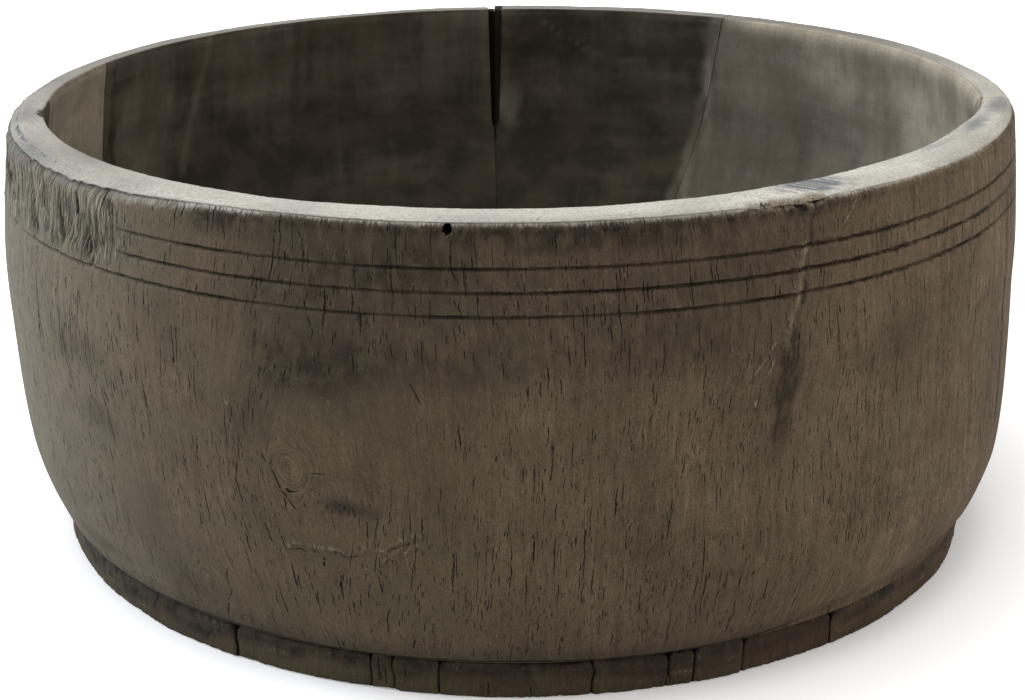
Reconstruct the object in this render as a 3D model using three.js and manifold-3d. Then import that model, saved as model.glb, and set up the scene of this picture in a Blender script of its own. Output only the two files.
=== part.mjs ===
// A large round wooden bowl. Its upright wall is made of hewn sections that meet on loose tongues,
// its floor is a board let into a groove of the wall, and it stands on a ring of pegged foot blocks.
// Sizes are in millimetres and degrees. +Z is up and the origin is on the ground under the middle.
// Azimuths run anticlockwise from +X, seen from above, and the bowl's front faces -Y.
import * as THREE from 'three';
import { mergeVertices } from 'three/addons/utils/BufferGeometryUtils.js';
import Module from 'manifold-3d';

const wasm = await Module();
wasm.setup();

// The wall's outer surface, from the seam over the foot up to the rim
const rimHeight = 173;
const rimRadius = 200;
const upperDrop = 33;
const upperRadius = 203.2;
const bellyHeight = 108;
const bellyRadius = 204.5;
const shoulderHeight = 46;
const shoulderRadius = 200.6;
const seamRadius = 190.5;

// The wall isn't quite round: it grows by this much on its long axis and shrinks as much across it
const outOfRound = 4.7;
const longAxis = 60;

// Thickness of the wall and the edges of its rim
const rimThickness = 15;
const bellyThickness = 15.5;
const baseThickness = 24;
const rimRounding = 2.5;
const innerBevel = 0.8;

// Three incised lines round the outside
const grooveCount = 3;
const grooveDrop = 15.4;
const grooveSpacing = 7.5;
const grooveWidth = 1.8;
const grooveDepth = 1.4;

// A small round hole just under the rim at the front
const holeAzimuth = 264;
const holeDrop = 3.4;
const holeDiameter = 2.6;
const holeDepth = 11;

// The floor board and the groove that holds its edge
const floorLift = 9.4;
const floorThickness = 15;
const floorBevel = 4;
const floorSeat = 5;

// The foot ring
const footHeight = 14.6;
const footRadius = 187.5;
const footWidth = 30;
const blockCorner = 1.6;

// Pegs that hold the blocks to the wall
const pegDiameter = 8;
const pegCircle = 178.4;
const pegGrip = 14;
const pegRecess = 0.6;
const pegPitch = 60;
const pegEdge = 4;

// Loose tongues between the wall's sections
const tongueThickness = 5;
const tongueWidth = 20;
const tongueBottom = 70;
const tongueDrop = 23;

// The joint at the back has opened on the inside, widest at the rim
const splitDepth = 62;
const splitWidth = 7;
const splitSkin = 5;

// Clearances
const jointGap = 0.3;
const seamGap = 0.3;
const floorClearance = 0.3;
const tongueClearance = 0.3;
const pegClearance = 0.3;

// Joints of the wall in order, each at its azimuth on the rim. A leaning joint drifts as it goes down.
const wallJoints = [
  { section: 'wall_front', azimuth: 189, lean: 0 },
  { section: 'wall_front_right', azimuth: 297.8, lean: -9 },
  { section: 'wall_right', azimuth: 353, lean: 0 },
  { section: 'wall_back', azimuth: 418, lean: 12 },
  { section: 'wall_back_left', azimuth: 453, lean: 0, split: true },
  { section: 'wall_left', azimuth: 525, lean: 0 },
];

// Joints of the foot ring that show at the front, and the even blocks that go on round the back
const shownFootJoints = [200, 238, 254.5, 257, 262, 278, 286, 289, 295, 307, 342];
const backBlockCount = 8;

// Fineness of the round surfaces
const turnSteps = 60;
const outerSteps = 9;
const innerSteps = 6;
const roundingSteps = 3;
const tongueSteps = 8;
const blockTurn = 6;
const pegSides = 12;

// Values that follow from the sizes above
const fullTurnAngle = 360;
const rimInnerRadius = rimRadius - rimThickness;
const baseInnerRadius = seamRadius - baseThickness;
const floorUnderside = footHeight + floorLift;
const floorTop = floorUnderside + floorThickness;
const lowestGroove = rimHeight - grooveDrop - (grooveCount - 1) * grooveSpacing;
const tongueTop = rimHeight - tongueDrop;
const splitBottom = rimHeight - splitDepth;
const innerBottom = floorTop + floorClearance;
const innerTop = rimHeight - innerBevel;
const outside = rimRadius + bellyRadius;

const outerCurve = new THREE.SplineCurve([
  new THREE.Vector2(seamRadius, footHeight),
  new THREE.Vector2(shoulderRadius, shoulderHeight),
  new THREE.Vector2(bellyRadius, bellyHeight),
  new THREE.Vector2(upperRadius, rimHeight - upperDrop),
  new THREE.Vector2(rimRadius, rimHeight - rimRounding),
]);
// Thickness of the wall, from the top of the floor's groove up to the rim
const thicknessCurve = new THREE.SplineCurve([
  new THREE.Vector2(radiusOn(outerCurve, innerBottom) - baseInnerRadius, innerBottom),
  new THREE.Vector2(bellyThickness, bellyHeight),
  new THREE.Vector2(rimThickness, innerTop),
]);

const weatheredWood = new THREE.MeshStandardMaterial({ color: 0x8c8275, roughness: 0.85, metalness: 0 });
const footWood = new THREE.MeshStandardMaterial({ color: 0x6f6457, roughness: 0.85, metalness: 0 });
const floorWood = new THREE.MeshStandardMaterial({ color: 0x77695a, roughness: 0.8, metalness: 0 });
const hiddenWood = new THREE.MeshStandardMaterial({ color: 0x9c8a6e, roughness: 0.8, metalness: 0 });

const radians = THREE.MathUtils.degToRad;
const bowl = new THREE.Group();

function addPiece(name, geometry, material) {
  const piece = new THREE.Mesh(geometry, material);
  piece.name = name;
  bowl.add(piece);
  return piece;
}

function solidOf(geometry) {
  const bare = geometry.clone();
  bare.deleteAttribute('normal');
  bare.deleteAttribute('uv');
  const merged = mergeVertices(bare);
  return new wasm.Manifold(new wasm.Mesh({
    numProp: 3,
    vertProperties: merged.getAttribute('position').array,
    triVerts: new Uint32Array(merged.getIndex().array),
  }));
}

function geometryOf(solid) {
  const mesh = solid.getMesh();
  const geometry = new THREE.BufferGeometry();
  geometry.setAttribute('position', new THREE.BufferAttribute(mesh.vertProperties, 3));
  geometry.setIndex(new THREE.BufferAttribute(mesh.triVerts, 1));
  geometry.computeVertexNormals();
  return geometry;
}

// Radius of a curve of (radius, height) points at one height
function radiusOn(curve, height) {
  const points = curve.getPoints(turnSteps);
  const above = points.findIndex((point) => point.y >= height);
  if (above < 1) return points.at(above).x;
  const low = points[above - 1];
  const high = points[above];
  return THREE.MathUtils.mapLinear(height, low.y, high.y, low.x, high.x);
}

// Radius of the wall's inside at one height
function innerRadiusAt(height) {
  return radiusOn(outerCurve, height) - radiusOn(thicknessCurve, height);
}

// How far the wall stands out of round: nothing up to the top of the floor's groove, all from the belly up
function hewnGrowth(azimuth, height) {
  const share = THREE.MathUtils.clamp((height - innerBottom) / (bellyHeight - innerBottom), 0, 1);
  return outOfRound * share * Math.cos(2 * (azimuth - radians(longAxis)));
}

// Closed outline of the wall's section: up the outside, over the rim, down the inside, round the groove
function wallOutline() {
  const outline = [];
  const lastPlain = lowestGroove - grooveWidth;
  for (let step = 0; step <= outerSteps; step += 1) {
    const height = THREE.MathUtils.lerp(footHeight, lastPlain, (step / outerSteps) ** 1.5);
    outline.push([radiusOn(outerCurve, height), height]);
  }
  for (let groove = 0; groove < grooveCount; groove += 1) {
    const height = lowestGroove + groove * grooveSpacing;
    const low = height - grooveWidth / 2;
    const high = height + grooveWidth / 2;
    outline.push([radiusOn(outerCurve, low), low]);
    outline.push([radiusOn(outerCurve, height) - grooveDepth, height]);
    outline.push([radiusOn(outerCurve, high), high]);
  }
  for (let step = 0; step <= roundingSteps; step += 1) {
    const angle = (step / roundingSteps) * (Math.PI / 2);
    const radius = rimRadius - rimRounding + rimRounding * Math.cos(angle);
    outline.push([radius, rimHeight - rimRounding + rimRounding * Math.sin(angle)]);
  }
  outline.push([rimInnerRadius + innerBevel, rimHeight]);
  for (let step = innerSteps; step >= 0; step -= 1) {
    const height = THREE.MathUtils.lerp(innerBottom, innerTop, step / innerSteps);
    outline.push([innerRadiusAt(height), height]);
  }
  const seatRadius = baseInnerRadius + floorSeat;
  outline.push([seatRadius, innerBottom]);
  outline.push([seatRadius, floorUnderside - floorClearance]);
  outline.push([baseInnerRadius, floorUnderside - floorClearance]);
  outline.push([baseInnerRadius, footHeight]);
  outline.push(outline[0]);
  return outline.map(([radius, height]) => new THREE.Vector2(radius, height));
}

// The whole wall in one, before it is parted at its joints
function wholeWall() {
  const geometry = new THREE.LatheGeometry(wallOutline(), turnSteps);
  geometry.rotateX(Math.PI / 2);
  const place = geometry.getAttribute('position');
  for (let index = 0; index < place.count; index += 1) {
    const azimuth = Math.atan2(place.getY(index), place.getX(index));
    const radius = Math.hypot(place.getX(index), place.getY(index)) + hewnGrowth(azimuth, place.getZ(index));
    place.setX(index, radius * Math.cos(azimuth));
    place.setY(index, radius * Math.sin(azimuth));
  }
  return solidOf(geometry);
}

// Turns a shape made about a joint that lies along +X so that it lies in its own joint
function intoJoint(geometry, joint) {
  geometry.translate(0, 0, -rimHeight);
  geometry.rotateX(radians(joint.lean));
  geometry.translate(0, 0, rimHeight);
  geometry.rotateZ(radians(joint.azimuth));
  return geometry;
}

// Everything on one side of a joint: side 1 is anticlockwise of it, side -1 clockwise
function sideOf(joint, side) {
  const block = new THREE.BoxGeometry(2 * outside, outside, 2 * outside);
  block.translate(0, side * (outside + jointGap) / 2, 0);
  return solidOf(intoJoint(block, joint));
}

function tongueEnd(joint) {
  return joint.split ? splitBottom - tongueClearance - tongueThickness : tongueTop;
}

// Distance of a joint's tongue from the axis: midway between what the wall's two faces leave for it
function tongueRadius(joint) {
  const azimuth = radians(joint.azimuth);
  const outer = [];
  const inner = [];
  for (let step = 0; step <= tongueSteps; step += 1) {
    const height = THREE.MathUtils.lerp(tongueBottom, tongueEnd(joint), step / tongueSteps);
    const drift = (rimHeight - height) * Math.tan(radians(joint.lean)) + tongueWidth / 2;
    const growth = hewnGrowth(azimuth, height);
    outer.push(Math.sqrt((radiusOn(outerCurve, height) + growth) ** 2 - drift ** 2));
    inner.push(innerRadiusAt(height) + growth);
  }
  return (Math.min(...outer) + Math.max(...inner)) / 2;
}

function tongueShape(joint, clearance) {
  const height = tongueEnd(joint) - tongueBottom;
  const shape = new THREE.BoxGeometry(
    tongueThickness + 2 * clearance,
    tongueWidth + 2 * clearance,
    height + 2 * clearance,
  );
  shape.translate(tongueRadius(joint), 0, tongueBottom + height / 2);
  return intoJoint(shape, joint);
}

// The open part of a split joint, a wedge that stops short of the wall's outside
function splitShape(joint) {
  const past = 2;
  const wedge = new THREE.Shape([
    new THREE.Vector2(0, splitBottom),
    new THREE.Vector2(past * splitWidth / 2, splitBottom + past * splitDepth),
    new THREE.Vector2(-past * splitWidth / 2, splitBottom + past * splitDepth),
  ]);
  const reach = rimRadius - splitSkin + hewnGrowth(radians(joint.azimuth), rimHeight);
  const shape = new THREE.ExtrudeGeometry(wedge, { depth: reach, bevelEnabled: false });
  const upright = new THREE.Matrix4().makeBasis(
    new THREE.Vector3(0, 1, 0),
    new THREE.Vector3(0, 0, 1),
    new THREE.Vector3(1, 0, 0),
  );
  shape.applyMatrix4(upright);
  return intoJoint(shape, joint);
}

function holeShape() {
  const height = rimHeight - holeDrop;
  const shape = new THREE.CylinderGeometry(holeDiameter / 2, holeDiameter / 2, 2 * holeDepth, pegSides);
  shape.rotateZ(Math.PI / 2);
  shape.translate(rimRadius + hewnGrowth(radians(holeAzimuth), height), 0, height);
  shape.rotateZ(radians(holeAzimuth));
  return shape;
}

// The foot ring's blocks, each between two azimuths
function footBlocks() {
  const joints = [...shownFootJoints];
  const hidden = shownFootJoints[0] + fullTurnAngle - joints.at(-1);
  for (let block = 1; block <= backBlockCount; block += 1) {
    joints.push(shownFootJoints.at(-1) + (hidden * block) / backBlockCount);
  }
  return joints.slice(1).map((end, index) => ({ start: joints[index], end }));
}

// Azimuths of a block's pegs: none in a block that is too narrow, more than one in a long block
function pegAzimuths(block) {
  const span = block.end - block.start;
  const width = radians(span) * pegCircle;
  if (width < pegDiameter + 2 * pegEdge) return [];
  const count = Math.max(1, Math.round(width / pegPitch));
  return Array.from({ length: count }, (unused, index) => block.start + (span * (index + 0.5)) / count);
}

function pegShape(clearance) {
  const radius = pegDiameter / 2 + clearance;
  const height = footHeight + pegGrip - pegRecess + clearance;
  const shape = new THREE.CylinderGeometry(radius, radius, height, pegSides);
  shape.rotateX(Math.PI / 2);
  shape.translate(0, 0, pegRecess + height / 2);
  return shape;
}

function onPegCircle(azimuth) {
  return new THREE.Vector2(pegCircle * Math.cos(radians(azimuth)), pegCircle * Math.sin(radians(azimuth)));
}

function blockGeometry(block) {
  const steps = Math.max(1, Math.ceil((block.end - block.start) / blockTurn));
  const start = radians(block.start);
  const end = radians(block.end);
  // Half the joint gap and the outer corner's cut, as angles on a radius
  const corner = (radius, distance) => Math.asin((jointGap / 2 + distance) / radius);
  const at = (radius, angle) => new THREE.Vector2(radius * Math.cos(angle), radius * Math.sin(angle));
  const innerRadius = footRadius - footWidth;
  const sideRadius = footRadius - blockCorner;
  const points = [at(innerRadius, start + corner(innerRadius, 0)), at(sideRadius, start + corner(sideRadius, 0))];
  const arc = (radius, cut, forward) => {
    for (let step = 0; step <= steps; step += 1) {
      const share = forward ? step / steps : 1 - step / steps;
      points.push(at(radius, THREE.MathUtils.lerp(start + corner(radius, cut), end - corner(radius, cut), share)));
    }
  };
  arc(footRadius, blockCorner, true);
  points.push(at(sideRadius, end - corner(sideRadius, 0)));
  arc(innerRadius, 0, false);
  const shape = new THREE.Shape(points.slice(0, -1));
  for (const azimuth of pegAzimuths(block)) {
    const middle = onPegCircle(azimuth);
    const bore = new THREE.Path();
    for (let side = 0; side < pegSides; side += 1) {
      const angle = (side / pegSides) * 2 * Math.PI;
      const spot = at(pegDiameter / 2 + pegClearance, angle).add(middle);
      if (side === 0) bore.moveTo(spot.x, spot.y);
      else bore.lineTo(spot.x, spot.y);
    }
    shape.holes.push(bore);
  }
  return new THREE.ExtrudeGeometry(shape, { depth: footHeight - seamGap, bevelEnabled: false });
}

function addFoot() {
  const blocks = footBlocks();
  let pegNumber = 0;
  blocks.forEach((block, index) => {
    addPiece(`foot_block_${String(index + 1).padStart(2, '0')}`, blockGeometry(block), footWood);
    for (const azimuth of pegAzimuths(block)) {
      pegNumber += 1;
      const peg = addPiece(`foot_peg_${String(pegNumber).padStart(2, '0')}`, pegShape(0), hiddenWood);
      const middle = onPegCircle(azimuth);
      peg.position.set(middle.x, middle.y, 0);
    }
  });
  return blocks.flatMap(pegAzimuths);
}

function addFloor() {
  const radius = baseInnerRadius + floorSeat - floorClearance;
  const outline = [
    new THREE.Vector2(0, floorUnderside),
    new THREE.Vector2(radius - floorBevel, floorUnderside),
    new THREE.Vector2(radius, floorUnderside + floorBevel),
    new THREE.Vector2(radius, floorTop),
    new THREE.Vector2(0, floorTop),
  ];
  const geometry = new THREE.LatheGeometry(outline, turnSteps);
  geometry.rotateX(Math.PI / 2);
  addPiece('floor_board', geometry, floorWood);
}

// Parts the wall at its joints, and cuts the seats of the tongues and pegs in each section
function addWall(pegs) {
  let cuts = solidOf(holeShape());
  for (const joint of wallJoints) {
    cuts = cuts.add(solidOf(tongueShape(joint, tongueClearance)));
    if (joint.split) cuts = cuts.add(solidOf(splitShape(joint)));
  }
  for (const azimuth of pegs) {
    const middle = onPegCircle(azimuth);
    cuts = cuts.add(solidOf(pegShape(pegClearance).translate(middle.x, middle.y, 0)));
  }
  const wall = wholeWall().subtract(cuts);
  wallJoints.forEach((joint, index) => {
    const next = wallJoints[(index + 1) % wallJoints.length];
    const section = wall.intersect(sideOf(joint, 1)).intersect(sideOf(next, -1));
    addPiece(joint.section, geometryOf(section), weatheredWood);
  });
}

function addTongues() {
  wallJoints.forEach((joint, index) => {
    addPiece(`wall_tongue_${index + 1}`, tongueShape(joint, 0), hiddenWood);
  });
}

const pegs = addFoot();
addFloor();
addWall(pegs);
addTongues();

export default bowl;
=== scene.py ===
import math
from functools import partial
import bpy
import numpy as np
from mathutils.geometry import delaunay_2d_cdt
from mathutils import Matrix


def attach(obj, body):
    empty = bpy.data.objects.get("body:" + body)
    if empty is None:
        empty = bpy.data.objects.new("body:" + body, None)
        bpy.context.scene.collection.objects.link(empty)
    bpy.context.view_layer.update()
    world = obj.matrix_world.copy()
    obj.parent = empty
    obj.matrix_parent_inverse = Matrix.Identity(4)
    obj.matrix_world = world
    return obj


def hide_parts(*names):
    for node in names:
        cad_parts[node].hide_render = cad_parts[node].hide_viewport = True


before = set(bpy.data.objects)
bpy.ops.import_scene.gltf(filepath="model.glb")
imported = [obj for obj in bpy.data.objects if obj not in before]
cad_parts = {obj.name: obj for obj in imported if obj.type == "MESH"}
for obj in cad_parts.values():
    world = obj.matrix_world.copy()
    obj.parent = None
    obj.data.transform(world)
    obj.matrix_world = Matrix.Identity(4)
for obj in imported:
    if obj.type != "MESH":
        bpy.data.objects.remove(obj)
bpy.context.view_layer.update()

print("frame loaded")

# Shapes are worked out in millimetres and degrees, and turned to metres when a mesh is made.
# Azimuths run anticlockwise from +X seen from above, so the middle of the front is at 270.
mm = 0.001


# Camera

camera = {
    # where it stands from the middle of the bowl's foot, in millimetres, and how far it looks down
    "back": 743.6, "height": 324.8, "aside": -1.3, "tilt": 19.68,
    "lens": 65.37, "sensor": 36.0,
}


def makeCamera():
    data = bpy.data.cameras.new("camera")
    data.sensor_fit = "HORIZONTAL"
    data.sensor_width = camera["sensor"]
    data.lens = camera["lens"]
    data.clip_start = 0.01
    eye = bpy.data.objects.new("camera", data)
    eye.location = (camera["aside"] * mm, -camera["back"] * mm, camera["height"] * mm)
    eye.rotation_euler = (math.radians(90 - camera["tilt"]), 0, 0)
    bpy.context.scene.collection.objects.link(eye)
    bpy.context.scene.camera = eye


# Small tools

def toLinear(hexColour):
    # sRGB hex to the linear colour that shaders take
    parts = [int(hexColour[i:i + 2], 16) / 255 for i in (1, 3, 5)]
    return tuple(c / 12.92 if c <= 0.04045 else ((c + 0.055) / 1.055) ** 2.4 for c in parts) + (1.0,)


def addNode(tree, kind, inputs=(), output=0, **settings):
    # one node with its settings; each input, by place or by name, is a value or another node's output
    node = tree.nodes.new("ShaderNode" + kind)
    for name, value in settings.items():
        setattr(node, name, value)
    for name, value in inputs.items() if isinstance(inputs, dict) else enumerate(inputs):
        if isinstance(value, bpy.types.NodeSocket):
            tree.links.new(value, node.inputs[name])
        else:
            node.inputs[name].default_value = value
    return node.outputs[output] if node.outputs else None


def hills(u, v, seed):
    # soft random hills, about one to a unit, from -1 to 1
    table = np.random.default_rng(seed).uniform(-1, 1, (256, 256))
    u, v = np.broadcast_arrays(u, v)
    lowU, lowV = np.floor(u).astype(int), np.floor(v).astype(int)
    partU, partV = u - lowU, v - lowV
    partU, partV = partU * partU * (3 - 2 * partU), partV * partV * (3 - 2 * partV)
    a, b = table[lowU % 256, lowV % 256], table[(lowU + 1) % 256, lowV % 256]
    c, d = table[lowU % 256, (lowV + 1) % 256], table[(lowU + 1) % 256, (lowV + 1) % 256]
    return (a * (1 - partU) + b * partU) * (1 - partV) + (c * (1 - partU) + d * partU) * partV


def swells(u, v, seed):
    # broad soft hills made of crossing waves, so that no grid shows in them
    total = 0
    for turn, size, phase in np.random.default_rng(seed).uniform(0, 1, (14, 3)):
        angle, wave = math.pi * turn, 2 * math.pi * (0.3 + 0.55 * size)
        total = total + np.cos(wave * (u * math.cos(angle) + v * math.sin(angle)) + 2 * math.pi * phase)
    return total / 4.2


def smooth(value, low, high):
    # 0 at low, 1 at high, eased between
    share = np.clip((value - low) / (high - low), 0, 1)
    return share * share * (3 - 2 * share)


def bell(value, width):
    # 1 at 0, fading out past the width
    return np.exp(-(value / width) ** 2)


def spot(s, z, middle, reach):
    # 1 in the middle of an oval, fading to 0 at its edge
    return 1 - smooth(np.hypot((s - middle[0]) / reach[0], (z - middle[1]) / reach[1]), 0.15, 1.0)


def lineDistance(s, z, points):
    # how far each place is from a bent line
    nearest = np.full(np.broadcast(s, z).shape, 1e9)
    for (s0, z0), (s1, z1) in zip(points, points[1:]):
        ds, dz = s1 - s0, z1 - z0
        along = np.clip(((s - s0) * ds + (z - z0) * dz) / (ds * ds + dz * dz), 0, 1)
        nearest = np.minimum(nearest, np.hypot(s - s0 - along * ds, z - z0 - along * dz))
    return nearest


def nearestLine(s, z, lines):
    # signed distance to the nearest of many thin lines, and how much it shows: 1 along it, 0 past its ends.
    # The distance runs evenly from point to point, so a material can draw a line much thinner than the mesh.
    nearest, offset, strength = np.full(s.shape, 1e9), np.full(s.shape, 50.0), np.zeros_like(s)
    for path, width in lines:
        points = spread(path)
        closest, signed, place, walked = np.full(s.shape, 1e9), np.zeros_like(s), np.zeros_like(s), 0.0
        for (s0, z0), (s1, z1) in zip(points, points[1:]):
            ds, dz = s1 - s0, z1 - z0
            length = math.hypot(ds, dz)
            along = np.clip(((s - s0) * ds + (z - z0) * dz) / length ** 2, 0, 1)
            away = np.hypot(s - s0 - along * ds, z - z0 - along * dz)
            side = np.where((s - s0) * dz - (z - z0) * ds < 0, -1, 1)
            closer = away < closest
            signed = np.where(closer, away * side, signed)
            place = np.where(closer, walked + along * length, place)
            closest = np.minimum(away, closest)
            walked += length
        fade = smooth(place, -0.01, 1.4) * smooth(walked - place, -0.01, 1.4)
        closer = closest < nearest
        offset = np.where(closer, signed * 0.3 / width, offset)
        strength = np.where(closer, fade * (1 - smooth(closest, 1.3, 2.4)), strength)
        nearest = np.minimum(closest, nearest)
    return offset, strength


def evenCurve(knots, count=600):
    # a curve through the knots, the same kind that the solids use
    points = np.array([knots[0]] + list(knots) + [knots[-1]], float)
    share = np.linspace(0, len(knots) - 1, count)
    index = np.minimum(share.astype(int), len(knots) - 2)
    t = (share - index)[:, None]
    p0, p1, p2, p3 = (points[index + k] for k in range(4))
    v0, v1 = (p2 - p0) / 2, (p3 - p1) / 2
    return (2 * p1 - 2 * p2 + v0 + v1) * t ** 3 + (-3 * p1 + 3 * p2 - 2 * v0 - v1) * t ** 2 + v0 * t + p1


def quarterTurn(count):
    # steps along a quarter of a circle: 1 less the cosine, and 1 less the sine
    angles = np.radians(np.linspace(0, 90, count))
    return zip(1 - np.cos(angles), 1 - np.sin(angles))


# What the carved pieces tell their material from point to point: three shares in each attribute
carvedShares = {
    "surface": ("top", "inside", "calm"), "tint": ("dark", "pale", "cool"), "wear": ("dirt", "tone", "torn"),
    "lines": ("lineOffset", "lineShare", "grooveOffset"), "cuts": ("grooveShare", "rimShade", "warmth"),
    "knots": ("swirl", "", ""),
}


def packShares(grain, shares):
    # offsets are in millimetres; the rest run from 0 to 1, calm from -1, and what isn't given is 0
    packed = {"grain": grain}
    for key, channels in carvedShares.items():
        packed[key] = []
        for channel in channels:
            value = shares.get(channel, 0)
            low = -1 if channel == "calm" else 0
            packed[key].append(value if "Offset" in channel else np.clip(value, low, 1))
    shape = np.broadcast(*grain).shape
    return {key: np.stack([np.broadcast_to(value, shape) for value in values], -1).reshape(-1, 3)
            for key, values in packed.items()}


def gridFaces(index):
    # four-sided faces over a grid of points that closes on itself along its first side
    above = np.roll(index, -1, axis=0)
    corners = (index[:, :-1], index[:, 1:], above[:, 1:], above[:, :-1])
    return np.stack(corners, -1).reshape(-1, 4).tolist()


def makeMesh(name, points, faces, roundFaces, attributes, material, replaces):
    # the first faces, as many as roundFaces says, are shaded round and the rest flat
    mesh = bpy.data.meshes.new(name)
    mesh.from_pydata((points.reshape(-1, 3) * mm).tolist(), [], faces)
    for key, values in attributes.items():
        layer = mesh.attributes.new(key, "FLOAT_VECTOR", "POINT")
        layer.data.foreach_set("vector", values.astype(np.float32).ravel())
    mesh.polygons.foreach_set("use_smooth", [number < roundFaces for number in range(len(faces))])
    mesh.materials.append(material)
    mesh.update()
    piece = bpy.data.objects.new(name, mesh)
    bpy.context.scene.collection.objects.link(piece)
    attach(piece, "root")
    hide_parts(replaces)


# The wall. Its sizes are those of the solids.

wall = {
    "rimHeight": 173.0, "rimRadius": 200.0, "upperDrop": 33.0, "upperRadius": 203.2,
    "bellyHeight": 108.0, "bellyRadius": 204.5, "shoulderHeight": 46.0, "shoulderRadius": 200.6,
    "seamHeight": 14.6, "seamRadius": 190.5, "outOfRound": 4.7, "longAxis": 60.0,
    "rimThickness": 15.0, "bellyThickness": 15.5, "baseThickness": 24.0,
    "outerRounding": 1.5, "innerRounding": 0.9,
    "floorUnderside": 24.0, "floorTop": 39.0, "floorSeat": 5.0, "clearance": 0.3, "jointGap": 0.08,
    "grooveHeights": (142.6, 150.1, 157.6), "grooveDepth": 1.15,
    "splitDepth": 62.0, "splitWidth": 7.0, "splitSkin": 5.0, "skinEdge": 0.3,
    "outerFace": 204.0,  # the radius at which distances round the outside are counted
}
# how much thicker the rim is on its inner side, by azimuth, in millimetres; it is thickest at the near right
rimSwell = [
    (274, 0.1), (280, 0.5), (288, 1.5), (298, 3.7), (310, 3.7), (325, 3.2), (337, 2.4), (347, 0.6), (352, 0),
]
swellHeights = (95, 165)  # it starts at the first, going up, and is full at the second
# how far apart the rows of the mesh are, in millimetres; those of coarse sections are wider apart by a factor
wallMesh = {
    "outer": 1.5, "underRim": 0.8, "rim": 0.85, "innerNear": 3.0, "innerFar": 2.6, "coarse": 1.5,
    "aroundLine": 3.2, "line": (-1.9, -1.35, -0.95, -0.65, -0.38, -0.15, 0.05, 0.22, 0.42, 0.7, 1.15, 1.9),
    # sections with smaller steps than this are finely made, with columns closer together at fine marks:
    # from one azimuth to another, and how far apart
    "fineStep": 1.4,
    "fineColumns": [(191.0, 233.0, 0.73), (263.0, 265.6, 0.4), (251.2, 252.6, 0.5), (238.0, 241.0, 0.5),
                    (246.6, 250.4, 0.6), (293.0, 305.0, 0.6)],
    "endReach": 0.6, "endColumns": 0.7,  # beside the joints, in degrees and in millimetres
}
# Each section starts at its joint and goes anticlockwise to the next. step is the mesh's, round the wall.
# insideTone runs from 0, dark, to 1, pale; log is the same where two sections show one grain.
sections = [
    {"name": "wall_front", "azimuth": 189.0, "lean": 0.0, "step": 1.3, "log": 11, "insideTone": 0.14},
    {"name": "wall_front_right", "azimuth": 297.8, "lean": -9.0, "step": 1.3, "log": 11, "insideTone": 0.3},
    {"name": "wall_right", "azimuth": 353.0, "lean": 0.0, "step": 2.2, "log": 37, "insideTone": 0.46},
    {"name": "wall_back", "azimuth": 418.0, "lean": 12.0, "step": 2.2, "log": 41, "insideTone": 0.06},
    {"name": "wall_back_left", "azimuth": 453.0, "lean": 0.0, "step": 2.2, "log": 59, "insideTone": 0.12,
     "split": True},
    {"name": "wall_left", "azimuth": 525.0, "lean": 0.0, "step": 1.5, "log": 61, "insideTone": 0.85},
]

outerLine = evenCurve([
    (wall["seamRadius"], wall["seamHeight"]),
    (wall["shoulderRadius"], wall["shoulderHeight"]),
    (wall["bellyRadius"], wall["bellyHeight"]),
    (wall["upperRadius"], wall["rimHeight"] - wall["upperDrop"]),
    (wall["rimRadius"], wall["rimHeight"] - wall["outerRounding"]),
])
innerBottom = wall["floorTop"] + wall["clearance"]
rimInner = wall["rimRadius"] - wall["rimThickness"]
splitBottom = wall["rimHeight"] - wall["splitDepth"]
skinRadius = wall["rimRadius"] - wall["splitSkin"]


def outerRadius(height):
    return np.interp(height, outerLine[:, 1], outerLine[:, 0])


thicknessLine = evenCurve([
    (outerRadius(innerBottom) - wall["seamRadius"] + wall["baseThickness"], innerBottom),
    (wall["bellyThickness"], wall["bellyHeight"]),
    (wall["rimThickness"], wall["rimHeight"]),
])


def innerRadius(height):
    return outerRadius(height) - np.interp(height, thicknessLine[:, 1], thicknessLine[:, 0])


def hewnGrowth(azimuth, height):
    # how far the wall stands out of round
    share = np.clip((height - innerBottom) / (wall["bellyHeight"] - innerBottom), 0, 1)
    return wall["outOfRound"] * share * np.cos(2 * np.radians(azimuth - wall["longAxis"]))


def swellAt(azimuth, radius, height):
    # the swell fades out down the inside, and towards the outer edge of the top
    azimuths, sizes = zip(*rimSwell)
    inward = np.clip((wall["rimRadius"] - radius) / wall["rimThickness"], 0, 1)
    return np.interp(azimuth, azimuths, sizes, 0, 0) * inward * smooth(height, *swellHeights)


def aroundWall(azimuth):
    # distance round the outside from the middle of the front; azimuths run from 93 to 453
    return math.radians(azimuth - 270) * wall["outerFace"]


def onWall(place):
    # a place given by azimuth and height, as distances round the outside and up
    return aroundWall(place[0]), place[1]


def spread(places):
    return [onWall(place) for place in places]


def pastAzimuth(s, low, high):
    # 0 before the first azimuth and 1 past the second
    return smooth(s, aroundWall(low), aroundWall(high))


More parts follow.
